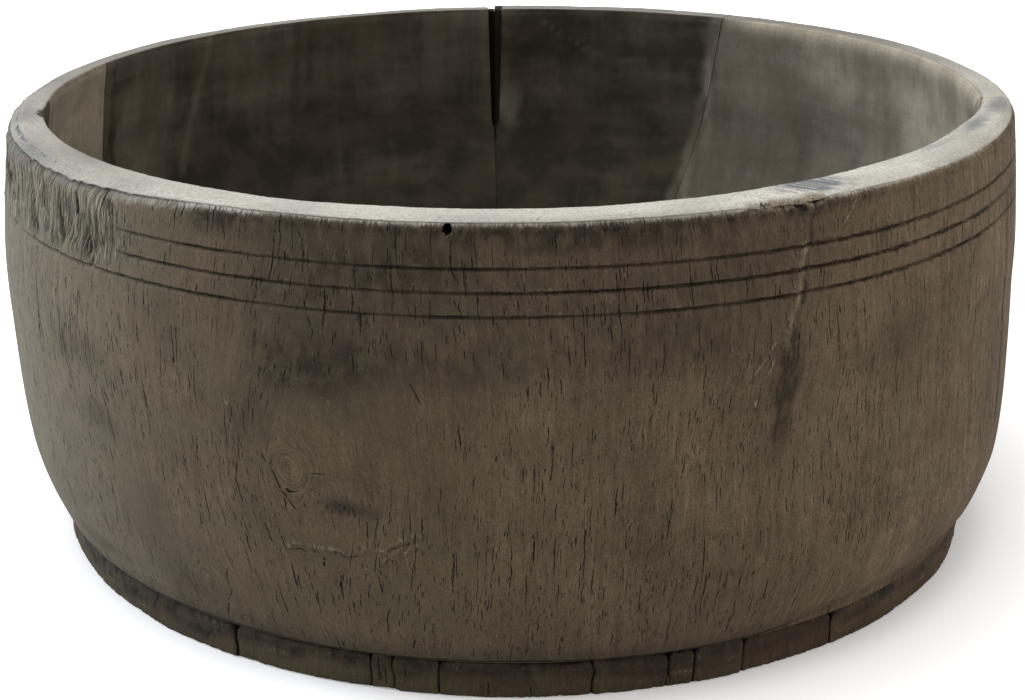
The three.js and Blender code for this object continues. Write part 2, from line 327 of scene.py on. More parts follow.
def wallRows(fine):
    # the outline as rows of (radius, height, part), up the outside, over the rim and down the inside
    low, top, edge, lip = wall["seamHeight"], wall["rimHeight"], wall["outerRounding"], wall["innerRounding"]
    around, coarse = wallMesh["aroundLine"], 1.0 if fine else wallMesh["coarse"]
    heights = list(np.arange(low + 1.6, wall["grooveHeights"][0] - around, wallMesh["outer"] * coarse))
    for middle in wall["grooveHeights"]:
        offsets = wallMesh["line"] if fine else wallMesh["line"][1::2]
        heights += [middle - around] + [middle + offset for offset in offsets]
    aboveLines = wall["grooveHeights"][-1] + 2.6
    heights += list(np.arange(aboveLines, top - edge - 0.1, wallMesh["underRim"] * coarse))
    rows = [(wall["seamRadius"] - 1.4, low, "under"), (wall["seamRadius"] - 0.4, low + 0.3, "outer")]
    rows += [(outerRadius(h), h, "outer") for h in sorted(heights)]
    outer = wall["rimRadius"]
    rows += [(outer - edge * inward, top - edge * down, "edge") for inward, down in quarterTurn(7)]
    radii = np.arange(outer - edge - 0.8, rimInner + lip + 0.3, -wallMesh["rim"] * coarse)
    atSkin = [skinRadius, skinRadius - wall["skinEdge"]]
    rows += [(radius, top, "rim") for radius in sorted([*radii, *atSkin], reverse=True)]
    rows += [(rimInner + lip * outward, top - lip * down, "lip") for down, outward in quarterTurn(5)]
    spacing = wallMesh["innerNear"] if fine else wallMesh["innerFar"]
    rows += [(innerRadius(h), h, "inner") for h in np.arange(top - 2.2, innerBottom + 1, -spacing)]
    # the groove for the floor board, and the underside
    base, under = wall["seamRadius"] - wall["baseThickness"], wall["floorUnderside"] - wall["clearance"]
    seat = base + wall["floorSeat"]
    corners = [(base, innerBottom), (seat, innerBottom), (seat, under), (base, under), (base, low)]
    return rows + [(radius, height, "under") for radius, height in corners]


# Marks on the outside, by (azimuth, height). Sizes are millimetres.

outsideMarks = {
    "knots": [
        # core is what the fibres flow round, push how far they give way, rings how round they go inside it
        {"at": (253.0, 88.0), "core": 21.0, "squeeze": 0.85, "pit": 0.0, "rings": 0.0, "push": 0.42},
        {"at": (249.3, 88.2), "core": 6.5, "squeeze": 0.8, "pit": 0.4, "rings": 1.0, "push": 0.55},
        {"at": (238.2, 35.6), "core": 6.5, "squeeze": 1.1, "pit": -0.9, "rings": 0.6, "push": 0.6},
    ],
    "calm": [
        # middle and reach of smooth wood, where few pores show
        ((254.6, 98.0), (38, 25)), ((240.0, 33.0), (20, 14)), ((231.0, 60.0), (20, 24)),
        ((262.0, 118.0), (34, 14)), ((244.0, 122.0), (14, 16)), ((212.0, 28.0), (40, 12)),
        ((253.0, 66.0), (16, 10)), ((253.0, 112.0), (16, 12)),
    ],
    "open": [
        # middle and reach of wood that has opened in many fine cracks
        ((242.5, 78.0), (24, 34)), ((254.0, 50.0), (36, 14)), ((280.0, 46.0), (90, 34)),
        ((306.0, 84.0), (50, 46)), ((268.0, 148.0), (80, 24)), ((222.0, 110.0), (50, 40)),
        ((328.0, 90.0), (34, 50)),
    ],
    "hole": {"at": (264.0, 169.6), "radius": 1.35, "depth": 9.0},
    # thin drying cracks: path and width
    "dryingCracks": [
        ([(263.9, 172.5), (264.1, 168.0)], 0.24), ([(264.2, 162.5), (264.5, 157.0), (265.1, 151.8)], 0.28),
        ([(264.4, 149.0), (264.9, 145.0)], 0.22), ([(251.4, 145.5), (251.7, 140.0), (252.4, 134.5)], 0.26),
        ([(240.6, 43.5), (240.2, 39.0), (240.4, 33.5), (239.2, 26.0), (238.3, 18.0)], 0.36),
        ([(246.5, 93.1), (246.7, 90.2), (247.0, 87.8)], 0.4),
        ([(247.4, 87.0), (248.3, 79.6), (249.8, 72.6)], 0.34),
        ([(251.4, 86.3), (252.0, 87.6), (252.8, 87.0)], 0.25), ([(249.0, 89.6), (249.5, 89.0)], 0.22),
        ([(243.9, 88.0), (243.5, 79.0), (244.1, 70.3)], 0.26), ([(246.0, 66.0), (246.7, 57.6)], 0.24),
        ([(239.6, 93.3), (239.2, 82.3)], 0.24), ([(253.4, 66.5), (253.1, 72.0)], 0.25),
        ([(256.4, 70.8), (256.3, 63.2)], 0.28), ([(260.7, 121.3), (261.1, 118.6), (261.7, 114.6)], 0.22),
        ([(257.0, 54.1), (257.4, 43.4)], 0.28),
        ([(336.6, 150.0), (336.0, 122.0), (336.4, 96.0), (335.8, 60.0)], 0.4),
        ([(215.4, 136.0), (215.7, 120.0), (215.2, 100.0)], 0.26), ([(274.2, 149.0), (274.4, 143.8)], 0.25),
        ([(285.3, 92.0), (285.0, 84.0)], 0.25), ([(243.2, 167.5), (243.6, 161.0)], 0.25),
        ([(239.0, 171.0), (238.6, 165.0)], 0.26), ([(228.7, 171.0), (228.2, 163.0)], 0.26),
        ([(244.8, 171.0), (244.6, 167.5)], 0.28), ([(289.1, 171.0), (289.4, 168.0)], 0.34),
        ([(325.0, 128.0), (325.4, 108.0)], 0.25), ([(331.8, 169.0), (331.6, 163.5)], 0.5),
    ],
    "wavyRidges": [
        # each is a raised, crumpled line
        [(248.2, 58.6), (250.0, 59.9), (252.4, 59.6), (255.2, 59.2), (257.8, 62.1), (259.8, 65.8),
         (261.9, 67.8)],
        [(257.6, 58.0), (259.4, 61.6), (261.4, 63.6)],
    ],
    "ridgeBreaks": [
        ([(248.6, 57.0), (249.6, 58.2), (250.4, 57.2)], 0.2),
        ([(252.8, 58.4), (254.2, 57.2), (255.4, 58.4)], 0.2),
        ([(258.0, 60.6), (259.4, 64.0), (260.6, 65.0)], 0.2), ([(251.8, 57.0), (252.0, 52.0)], 0.22),
    ],
    "ridgeHeight": 0.55, "ridgeWidth": 0.9,
    "jointRidge": {"path": [(297.8, 173.0), (296.7, 149.6), (296.3, 141.6), (295.6, 133.8), (295.1, 125.0)],
                   "height": 0.8, "width": 1.9},
    "scratches": [
        # pale raised lines: path, width and height
        ([(294.2, 127.6), (291.8, 117.6), (289.8, 108.3)], 0.45, 0.25),
        ([(293.9, 122.0), (292.0, 105.8)], 0.5, 0.3),
        ([(303.7, 168.8), (302.4, 163.5), (301.7, 159.6)], 0.4, 0.2),
        ([(243.7, 109.6), (243.5, 104.2)], 0.9, 0.3),
    ],
    "darkStainsAndShadow": [
        # middle, reach and strength
        ((251.5, 123.0), (28, 15), 0.6), ((246.0, 106.0), (16, 20), 0.4), ((262.0, 126.0), (60, 12), 0.3),
        ((284.0, 128.0), (40, 14), 0.2), ((254.2, 76.2), (11, 4.6), 0.75), ((256.6, 74.0), (6, 3.6), 0.4),
        ((275.0, 166.5), (75, 6), 0.35), ((258.0, 157.0), (34, 12), 0.3), ((231.0, 52.0), (24, 26), 0.3),
        ((234.5, 30.0), (16, 12), 0.5), ((309.0, 116.0), (22, 16), 0.5), ((236.0, 128.0), (24, 16), 0.25),
        # the strongest, at (298, 168.4), is painted shadow under the chip
        ((298.0, 168.4), (6, 3.2), 1.1), ((243.0, 166.0), (18, 6), 0.6), ((333.0, 100.0), (6, 40), 0.3),
        ((218.0, 27.0), (34, 7), 0.45), ((195.0, 163.0), (16, 12), 1.0), ((204.0, 158.0), (9, 10), 0.8),
        ((214.5, 152.0), (5, 9), 0.8), ((226.0, 150.0), (5, 8), 0.8), ((224.0, 112.0), (22, 12), 0.4),
        ((226.0, 88.0), (18, 8), 0.4), ((256.6, 88.0), (7, 12), 0.25), ((314.0, 126.0), (12, 10), 0.25),
    ],
    "darkLines": [
        ([(296.2, 124.4), (295.9, 119.0), (295.5, 112.0)], 4.4, 1.3),
        ([(297.0, 125.0), (296.4, 116.0)], 1.6, 0.4),
        ([(295.7, 112.0), (295.2, 104.0), (295.2, 96.0)], 3.2, 1.2),
        ([(294.8, 100.0), (294.3, 86.0)], 1.6, 0.5), ([(336.6, 150.0), (336.3, 60.0)], 2.0, 0.75),
        ([(330.8, 134.0), (329.9, 40.0)], 1.1, 0.5), ([(329.0, 160.0), (328.6, 142.0)], 1.4, 0.6),
    ],
    "roughPatch": {"at": (252.0, 148.0), "reach": (5, 3.6)},
    "torn": {"from": 190.0, "to": 232.5, "low": 143.5},
    "pits": [
        # upright torn hollows: azimuth and height of the upper end, of the lower end, width and depth
        ((192.0, 170.0), (197.0, 160.0), 2.6, 1.4), ((199.0, 168.0), (203.0, 156.0), 2.2, 1.6),
        ((212.4, 168.0), (214.6, 156.0), 1.6, 1.3), ((225.0, 158.0), (226.6, 143.5), 1.1, 2.0),
        ((205.0, 157.0), (207.6, 150.0), 1.5, 1.2), ((216.6, 158.0), (218.4, 149.0), 1.0, 1.3),
    ],
    "chip": {"from": 290.8, "to": 301.0, "depth": 1.7, "shadowAt": 297.8},
    # hollows under the chip, painted black as their shadow: azimuth, half width, and how far each reaches
    # down
    "notches": [(297.0, 1.9, 3.8), (299.0, 3.0, 2.2), (295.4, 4.5, 0.9)],
}


def tornShare(s, z):
    torn = outsideMarks["torn"]
    begin, end = aroundWall(torn["from"]), aroundWall(torn["to"])
    across = smooth(s, begin, begin + 9) * (1 - smooth(s + 4 * hills(z / 6, 0, 9), end - 16, end + 3))
    return across * smooth(z + 3 * hills(s / 5, 0, 9), torn["low"] - 1, torn["low"] + 5)


def cutGrooves(s, z, shift, torn):
    # incised lines: a steep upper side under a small ragged lip, and a longer lower side
    relief, dirt, pale, share = (np.zeros_like(s) for _ in range(4))
    offset = np.full(s.shape, 50.0)
    wide = (1 + 1.2 * pastAzimuth(s, 258, 312)) * (1 + 0.3 * hills(s / 7, z / 5, 92))
    for number, middle in enumerate(wall["grooveHeights"]):
        # only the lowest line runs on through the torn wood
        kept = 1 - torn * (0.65 if number == 0 else 1)
        kept = kept * np.clip(0.85 + 0.4 * hills(s / 17, number, 99), 0.3, 1)
        d = z - middle - shift
        ragged = 0.14 * hills(s / 1.7, number, 5) + 0.1 * hills(s / 5, number, 58)
        depth = wall["grooveDepth"] * (0.85 + 0.25 * hills(s / 11, number, 6)) * kept
        cut = smooth(d, -1.45, -0.2) * (1 - smooth(d + ragged, 0.05, 0.36))
        lip = kept * (0.6 + 0.6 * hills(s / 2.2, number, 59)) * (1.6 - 0.6 * wide)
        relief += 0.2 * bell(d - 0.65, 0.32) * lip - depth * cut
        # the lower side is darkened, partly dirt and partly painted shade
        dirt += kept * 0.3 * bell(d + 0.7, 0.5 * wide)
        # the lip is painted pale: a painted highlight
        pale += 0.6 * bell(d - 0.68, 0.28) * smooth(hills(s / 3, number, 15), -0.5, 0.6) * lip
        # turned about for each second line, so that halfway between two lines it runs on evenly
        nearer = np.abs(d) < np.abs(offset)
        offset = np.where(nearer, (d + 0.1 * wide) * (-1) ** number, offset)
        share = np.where(nearer, kept, share)
    return relief, dirt, pale, offset / wide, share * (1 - smooth(np.abs(offset), 2.0, 3.0))


def tearFibres(s, z, torn):
    # fibres torn out upwards: fine upright strands, dark between them, with deeper pits
    drift = s + 0.05 * z + 1.2 * hills(z / 14, s / 18, 60)
    strand = hills(drift / 1.5, z / 17, 7)
    fine = hills(drift / 0.75, z / 8, 8)
    ridge = 1 - 2 * np.abs(hills(drift / 2.6, z / 22, 61))
    relief = torn * (0.16 * strand + 0.12 * fine + 0.16 * ridge - 0.5)
    deep = swells(drift / 13, z / 17, 100)
    low = 1 - 0.75 * smooth(z, 160, 170)
    relief -= torn * 0.7 * smooth(deep, 0.1, 0.8) * low
    dirt = torn * (0.3 * smooth(-strand - 0.5 * fine, 0.25, 0.95) + 0.3 * smooth(-ridge, -0.1, 0.8)
                   + 0.42 * smooth(deep, 0.1, 0.8))
    pale = torn * (0.3 * smooth(strand + 0.6 * fine, 0.1, 0.9) + 0.2 * smooth(-deep, 0.1, 0.8))
    for upper, lower, width, depth in outsideMarks["pits"]:
        away = lineDistance(drift - 0.05 * z + 0.9 * hills(z / 3, s / 4, 16), z, spread([upper, lower]))
        shape = bell(away, width) * (0.7 + 0.6 * hills(s / 0.9, z / 6, 17))
        relief -= 0.7 * depth * shape
        dirt += 0.55 * smooth(shape, 0.3, 0.95)
    return relief * (0.4 + 0.6 * low), dirt * low, pale


def dressOutside(s, z, grooveShift):
    # relief in millimetres, the shares of colours and wear, and how far the nearest thin lines are
    marks = outsideMarks
    relief = 0.35 * swells(s / 70, z / 60, 1) + 0.12 * hills(s / 16, z / 40, 2) - 0.4
    relief = relief + 0.04 * hills(s / 3.4, z / 22, 3)
    dark, cool, calm = np.zeros_like(relief), np.zeros_like(relief), np.zeros_like(relief)
    torn = tornShare(s, z)
    cutRelief, dirt, pale, grooveOffset, grooveShare = cutGrooves(s, z, grooveShift, torn)
    tornRelief, tornDirt, tornPale = tearFibres(s, z, torn)
    relief, dirt, pale = relief + cutRelief + tornRelief, dirt + tornDirt, pale + tornPale
    cool += 0.35 * torn
    dark += 0.15 * torn

    for knot in marks["knots"]:
        s0, z0 = onWall(knot["at"])
        core = knot["core"]
        away = np.hypot(s - s0, (z - z0) * knot["squeeze"]) + 0.5 * hills(s / 5, z / 5, 18)
        relief += 0.12 * bell(away - 0.8 * core, 0.35 * core) - knot["pit"] * bell(away, 0.3 * core)
    for middle, reach in marks["open"]:
        calm = np.maximum(calm, spot(s, z, onWall(middle), reach))
    calm = -calm
    for middle, reach in marks["calm"]:
        calm = calm + 1.6 * spot(s, z, onWall(middle), reach)

    wander = 0.35 * hills(z / 2.4, s / 6, 19)
    thinLines = marks["dryingCracks"] + marks["ridgeBreaks"]
    lineOffset, lineShare = nearestLine(s + wander, z + 0.5 * hills(s / 2, 0, 83), thinLines)
    relief -= 0.35 * lineShare * bell(lineOffset, 0.5)
    waves = z + 0.8 * hills(s / 1.7, 0, 20)
    for path in marks["wavyRidges"]:
        line = bell(lineDistance(s, waves, spread(path)), marks["ridgeWidth"])
        crumbs = hills(s / 1.1, z / 0.9, 84)
        relief += marks["ridgeHeight"] * line * (0.8 + 0.5 * crumbs)
        pale += 0.42 * line * (0.8 + 0.5 * crumbs)
        dark += 0.3 * bell(lineDistance(s, waves + 1.5, spread(path)), 0.8)

    # the leaning joint: its right edge stands a little proud of its left
    ridge = marks["jointRidge"]
    path = spread(ridge["path"])
    fade = smooth(z, 121, 128) * (1 - 0.6 * smooth(z, 156, 166))
    wander = s + 0.5 * hills(z / 5, 0, 27)
    line = bell(lineDistance(wander, z, path), ridge["width"])
    relief += fade * ridge["height"] * line
    # a pale line along the ridge is a painted highlight
    pale += 0.4 * fade * line * (0.8 + 0.4 * hills(s / 1.2, z / 4, 62))
    dark += 0.8 * fade * bell(lineDistance(wander - 2.9, z, path), 0.9)
    for path, width, height in marks["scratches"]:
        wander = s + 0.4 * hills(z / 3, 0, 28)
        line = bell(lineDistance(wander, z, spread(path)), width)
        relief += height * line
        pale += 0.55 * line * smooth(hills(z / 2.4, 0, 64), -0.7, 0.3)
        dark += 0.3 * bell(lineDistance(wander - 0.9, z, spread(path)), width)
    for middle, reach, strength in marks["darkStainsAndShadow"]:
        edge = 0.35 * min(reach) * (0.7 * swells(s / 14, z / 16, 29) + 0.4 * hills(s / 3, z / 5, 63))
        dark += strength * spot(s + edge, z + 0.5 * edge, onWall(middle), reach)
    for path, width, strength in marks["darkLines"]:
        away = lineDistance(s + 0.3 * width * hills(s / 3, z / 6, 30), z, spread(path))
        dark += strength * bell(away, width) * (0.8 + 0.4 * hills(s / 1.5, z / 12, 31))

    patch = marks["roughPatch"]
    share = spot(s, z, onWall(patch["at"]), patch["reach"])
    relief += share * 0.5 * hills(s / 1.0, z / 1.0, 32)
    pale += 0.5 * share * smooth(hills(s / 0.9, z / 1.3, 65), 0.2, 0.7)
    dark += 0.3 * share
    dirt += 0.25 * share * smooth(hills(s / 0.9, z / 1.3, 33), 0.1, 0.6)

    hole = marks["hole"]
    away = np.hypot(s - aroundWall(hole["at"][0]), z - hole["at"][1])
    relief -= hole["depth"] * (1 - smooth(away, 0.8 * hole["radius"], 1.15 * hole["radius"]))
    dirt += 1.3 * (1 - smooth(away, 0.95 * hole["radius"], 1.35 * hole["radius"]))
    pale += 0.4 * bell(away - 1.8, 0.5) * smooth(hole["at"][1] - z, -0.3, 0.8)

    # the left is weathered greyer, and the lowest part is darker, with a thin pale edge over the seam
    cool += 0.6 * (1 - pastAzimuth(s, 192, 250)) * pastAzimuth(s, 100, 175)
    dark += 0.4 * smooth(-z, -24, -15.5) + 0.1 * smooth(-z, -60, -30)
    upper = pastAzimuth(s, 232, 250) * (1 - pastAzimuth(s, 292, 320))
    dark += (0.08 + 0.46 * smooth(z, 100, 146)) * upper
    # a broad pale patch low at the right is painted light
    pale += 0.2 * spot(s, z, onWall((318.0, 52.0)), (90, 44))
    cove = pastAzimuth(s, 296, 306)
    relief -= 2.2 * cove * smooth(-z, -25, -14.6)
    # a dark line along the seam with the foot is painted shade
    dirt += smooth(-z, -15.6, -14.9) * (1 - 0.7 * cove)
    pale += 0.5 * bell(z - 15.4, 0.7) * smooth(hills(s / 5, 0, 66), -0.4, 0.5)
    shares = {"dirt": dirt, "dark": dark, "pale": pale, "cool": cool, "calm": calm, "torn": torn,
              "lineShare": lineShare, "grooveShare": grooveShare}
    return relief, shares, {"lineOffset": lineOffset, "grooveOffset": grooveOffset}


def grainFlow(s, z):
    # the fibres run upright and part round each knot, as water round a stone; inside it they go round
    across = s + 1.6 * swells(s / 70, z / 50, 12) + 0.6 * hills(s / 14, z / 20, 13)
    across = across + 0.15 * hills(s / 3, z / 5, 14)
    along, swirl = z + 0 * across, 0 * across
    for knot in outsideMarks["knots"]:
        s0, z0 = onWall(knot["at"])
        ds, dz = s - s0, (z - z0) * knot["squeeze"]
        away = np.hypot(ds, dz) + 0.6 * hills(s / 4, z / 4, 67)
        core = knot["core"]
        outside = -ds * core ** 2 / np.maximum(away, core) ** 2
        ringed = knot["rings"] * smooth(0.75 * core - away, -0.3 * core, 0.3 * core)
        across = across + knot["push"] * outside
        across = across * (1 - ringed) + ringed * (s0 + 0.55 * away)
        along = along * (1 - ringed) + ringed * (z0 + 0.5 * core * np.arctan2(ds, dz + 1e-6))
        swirl = np.maximum(swirl, knot["rings"] * (1 - smooth(away, 0.5 * core, 1.9 * core)))
    return across, along, swirl


# Marks on the rim's top, by (azimuth, radius), and inside, by (azimuth, height)

rimMarks = {
    "coolPatches": [
        # middle, reach and strength
        ((348.0, 192.5), (26, 6.0), 0.75), ((338.0, 189.5), (26, 4.6), 0.6),
        ((325.0, 187.6), (22, 3.0), 0.35), ((301.3, 190.6), (20, 8.0), 1.4),
        ((304.0, 189.0), (9, 3.6), 0.3), ((196.0, 193.0), (34, 9.0), 0.35),
        ((352.0, 196.0), (12, 5.0), 0.3), ((211.0, 196.0), (40, 4.4), 0.3),
        ((178.0, 192.0), (40, 8.0), 0.2),
    ],
    # strokes across the rim, from (azimuth, radius) to (azimuth, radius)
    "paleStrokes": [
        ((300.3, 186.8), (301.2, 192.9)), ((301.9, 188.2), (302.8, 196.5)), ((298.6, 189.5), (299.8, 197.3)),
        ((302.9, 186.1), (303.6, 191.1)), ((301.1, 187.0), (302.1, 194.5)), ((304.0, 187.5), (304.8, 193.0)),
        ((297.6, 188.5), (298.6, 196.0)), ((299.5, 187.0), (300.4, 193.5)),
    ],
    "darkStrokes": [
        ((295.7, 188.2), (296.7, 195.6)), ((294.1, 189.2), (294.8, 193.2)), ((293.4, 188.7), (294.0, 195.1)),
        ((298.1, 187.2), (299.2, 194.0)), ((300.9, 187.0), (301.6, 191.5)), ((292.6, 188.0), (293.1, 191.5)),
    ],
    "rimCracks": [
        ([(189.5, 186.0), (190.2, 192.0), (191.6, 200.0)], 0.35), ([(353.2, 185.0), (357.0, 188.4)], 0.35),
        ([(209.0, 200.0), (210.0, 195.0)], 0.25), ([(318.0, 199.5), (316.8, 196.5)], 0.4),
        ([(304.2, 200.0), (303.4, 197.4)], 0.4), ([(293.0, 196.5), (294.0, 199.5)], 0.35),
        ([(295.6, 195.5), (297.2, 199.0)], 0.3), ([(176.0, 186.0), (178.0, 198.0)], 0.25),
        ([(200.0, 190.0), (197.0, 198.0)], 0.25), ([(294.8, 195.5), (295.4, 200.2)], 0.35),
        ([(293.0, 197.0), (293.4, 200.2)], 0.3), ([(291.2, 199.0), (293.0, 197.6), (295.8, 197.2)], 0.3),
    ],
    "innerNotch": {"at": (195.5, 185.0), "reach": (11.0, 3.6), "depth": 3.0},
}
insideMarks = {
    # middle, reach and strength, dark below 0 and pale above
    "blotches": [
        ((450.6, 122.0), (9, 17), 0.5), ((446.0, 112.0), (22, 6), 0.2), ((440.0, 152.0), (60, 9), -0.12),
        ((436.0, 140.0), (60, 5), 0.1), ((432.0, 100.0), (60, 7), -0.14), ((434.0, 122.0), (40, 7), 0.1),
        ((420.4, 128.0), (3.5, 40), 0.4), ((423.0, 90.0), (4, 30), 0.3), ((408.0, 118.0), (60, 40), -0.25),
        ((140.0, 140.0), (36, 26), -0.12), ((118.0, 120.0), (40, 20), -0.14),
        ((104.0, 140.0), (30, 10), 0.1), ((112.0, 98.0), (34, 8), 0.1), ((156.0, 130.0), (36, 54), 0.35),
        ((102.0, 160.0), (30, 10), -0.1), ((400.0, 150.0), (22, 18), 0.3),
        # the big pale blotch at (368, 140), on the far right inside, is painted light
        ((385.0, 120.0), (30, 24), 0.12), ((446.0, 132.0), (60, 8), 0.12), ((368.0, 140.0), (90, 44), 1.0),
        ((162.6, 140.0), (4, 50), -0.3), ((395.0, 152.0), (30, 16), 0.2),
    ],
    "lines": [
        # pale and dark upright streaks: path, width and strength
        ([(141.3, 171.0), (143.4, 145.0), (147.0, 112.0)], 2.2, 0.25),
        ([(126.8, 170.0), (127.2, 100.0)], 3.4, 0.16),
        ([(133.0, 168.0), (132.0, 150.0)], 3.0, 0.12), ([(149.0, 150.0), (151.0, 112.0)], 3.2, 0.12),
        ([(403.0, 171.0), (401.5, 150.0)], 3.0, 0.3), ([(396.0, 170.0), (395.5, 152.0)], 2.5, 0.2),
        ([(452.4, 107.0), (431.0, 108.4)], 1.3, -0.7), ([(430.9, 108.4), (422.0, 107.0)], 1.0, -0.35),
        ([(112.0, 168.0), (110.0, 130.0)], 3.4, 0.1),
        ([(446.0, 166.0), (438.0, 150.0), (430.0, 146.0)], 0.8, 0.25),
    ],
    "crack": [(452.6, 106.6), (440.0, 107.6), (431.0, 108.4)],
    "softEdge": {"from": 334.0, "full": 358.0, "end": (412.0, 420.0), "wear": 2.6},
}


def dressRim(s, radius):
    relief = 0.12 * swells(s / 30, radius / 16, 21) + 0.07 * hills(s / 5, radius / 4, 22) - 0.55
    relief += 0.06 * hills(s / 1.3, radius / 1.1, 23)
    dirt, cool = np.zeros_like(relief), 0.1 + 0.12 * swells(s / 22, radius / 9, 24)
    edge = 2.0 * hills(s / 4, radius / 3, 25)
    for (azimuth, middle), reach, strength in rimMarks["coolPatches"]:
        cool += strength * spot(s + 1.4 * edge, radius + 0.5 * edge, (aroundWall(azimuth), middle), reach)
    for ends in rimMarks["paleStrokes"]:
        line = bell(lineDistance(s + 0.12 * edge, radius, spread(ends)), 0.6)
        cool -= 1.1 * line
        relief += 0.12 * line
    for ends in rimMarks["darkStrokes"]:
        line = bell(lineDistance(s + 0.12 * edge, radius, spread(ends)), 0.5)
        dirt += 0.6 * line
        relief -= 0.3 * line
    for path, width in rimMarks["rimCracks"]:
        line = bell(lineDistance(s + 0.2 * edge, radius, spread(path)), width)
        dirt += 0.8 * line
        relief -= 0.6 * line
    return relief, dirt, cool


def dressInside(s, z):
    relief = 0.22 * swells(s / 50, z / 16, 41) + 0.2 * swells(s / 30, z / 50, 42) + 0.2
    relief = relief + 0.05 * hills(s / 6, z / 30, 43)
    # it is darker farther down
    tone = 0.05 * swells(s / 50, z / 16, 44) + 0.03 * swells(s / 16, z / 40, 45)
    tone = tone + 0.04 * hills(s / 4, z / 50, 46) - 0.12 * smooth(-z, -146, -104)
    for middle, reach, strength in insideMarks["blotches"]:
        size = 4 + 0.6 * min(reach)
        edge = 0.3 * min(reach) * swells(s / size, z / size, 47)
        tone = tone + 0.6 * strength * spot(s + edge, z + edge, onWall(middle), reach)
    for path, width, strength in insideMarks["lines"]:
        line = bell(lineDistance(s + 0.8 * hills(z / 9, 0, 48), z, spread(path)), width)
        tone = tone + 0.6 * strength * line
    crack = lineDistance(s, z + 0.7 * hills(s / 6, 0, 49), spread(insideMarks["crack"]))
    relief -= 0.5 * bell(crack, 0.8)
    return relief, 0.35 * bell(crack, 0.8), tone


def columnShares(section, start, end):
    # even columns, closer together where fine marks need them and beside the joints
    places = np.linspace(start, end, 4001)
    step = np.full(places.shape, float(section["step"]))
    if section["step"] < wallMesh["fineStep"]:
        for low, high, spacing in wallMesh["fineColumns"]:
            step = np.where((places > low) & (places < high), np.minimum(step, spacing), step)
    beside = np.minimum(places - start, end - places) < wallMesh["endReach"]
    step = np.where(beside, np.minimum(step, wallMesh["endColumns"]), step)
    walked = np.cumsum(math.radians(places[1] - places[0]) * wall["outerFace"] / step[1:])
    walked = np.concatenate([[0], walked])
    even = np.linspace(0, walked[-1], int(round(walked[-1])) + 1)
    return (np.interp(even, walked, places) - start) / (end - start)


def slotWidth(section, radius, height):
    # half of the open slot at the back, inside the skin that still holds
    if not section.get("split"):
        return 0 * (radius + height)
    upwards = np.clip((height - splitBottom) / wall["splitDepth"], 0, 1)
    opening = wall["splitWidth"] / 2 * (0.5 + 0.5 * upwards) * smooth(upwards, 0, 0.06)
    return opening * np.clip((skinRadius - radius) / wall["skinEdge"], 0, 1)


def jointAzimuth(joint, azimuth, side, radius, height):
    # where a section's end lies: a leaning joint drifts on its way down, and its gap and slot stay open
    gap = wall["jointGap"] / 2 * (0.3 if joint["lean"] else 1)
    drift = (wall["rimHeight"] - height) * math.tan(math.radians(joint["lean"]))
    return azimuth + np.degrees(np.arcsin((drift + side * (gap + slotWidth(joint, radius, height))) / radius))


def chipShare(s, walk, edgeAt, near):
    chip = outsideMarks["chip"]
    begin, end = aroundWall(chip["from"]), aroundWall(chip["to"])
    share = smooth(s, begin, begin + 5) * (1 - smooth(s, end - 5, end))
    inward = np.clip(1 - np.abs(walk - edgeAt) / (4.6 + 1.4 * hills(s / 3, 0, 69)), 0, 1)
    return near * share * smooth(inward, 0.0, 0.7)


def wearOuterEdge(s, z, r, walk, edgeAt, chip, onOuter, onTop):
    # the rim's outer edge is frayed, worn round at the left and chipped near the leaning joint
    marks, outside = outsideMarks, (onOuter | onTop) * 1.0
    worn = 1 - pastAzimuth(s, 222, 246) + 0.3 * pastAzimuth(s, 302, 325)
    wornAway, fromEdge = np.clip(worn, 0, 1), np.abs(walk - edgeAt)

    def nearEdge(reach):
        return outside * (1 - np.clip(fromEdge / reach, 0, 1) ** 2) ** 2

    fray = np.abs(hills(s / 2.4, 0, 51)) + 0.5 * np.abs(hills(s / 0.9, 0, 52))
    nicked = np.abs(hills(s / 5, walk / 7, 96)) + 0.5 * np.abs(hills(s / 1.6, walk / 5, 97))
    relief = -(0.8 + 2.6 * worn) * nearEdge(3.6 + 4.0 * worn)
    relief = relief - 0.3 * (fray - 0.4) * nearEdge(2.6) - 1.1 * wornAway * nicked * nearEdge(7.0)
    lumps, crumbled = hills(s / 1.3, walk / 1.2, 53), bell(walk - edgeAt + 0.6, 1.6) * outside
    relief += 0.2 * crumbled * lumps
    under = bell(walk - edgeAt + 3.8, 1.5) * onOuter
    dirt = 0.35 * crumbled * smooth(-lumps, 0.35, 0.9)
    dirt += 0.6 * under * smooth(hills(s / 0.9, z / 2.6, 68), -0.1, 0.7) * (1 - wornAway)
    dark = 0.3 * under * (1 - 0.6 * wornAway)

    facets = hills(s / 3.4, (r + z) / 2.6, 54) + 0.4 * hills(s / 1.4, (r + z) / 1.2, 89)
    relief -= marks["chip"]["depth"] * chip * (0.75 + 0.3 * facets)
    dirt += 0.35 * chip * smooth(-facets, 0.3, 0.9)
    below = edgeAt - walk - 0.9 + 0.5 * hills(s / 0.8, z / 1.2, 94)
    # each notch is sunk and painted dark: painted shadow under the chip
    for azimuthAt, half, down in marks["notches"]:
        notch = np.exp(-((s - aroundWall(azimuthAt)) / half) ** 4) * smooth(below, -1.2, -0.2)
        notch = notch * (1 - smooth(below, 0.4 * down, down)) * onOuter
        relief -= 1.5 * notch
        dirt += notch
    # a dark patch under the chip is painted shadow
    dark += 0.7 * bell(s - aroundWall(marks["chip"]["shadowAt"]), 8) * onOuter * bell(below - 2.2, 2.4)
    return relief, dirt, dark


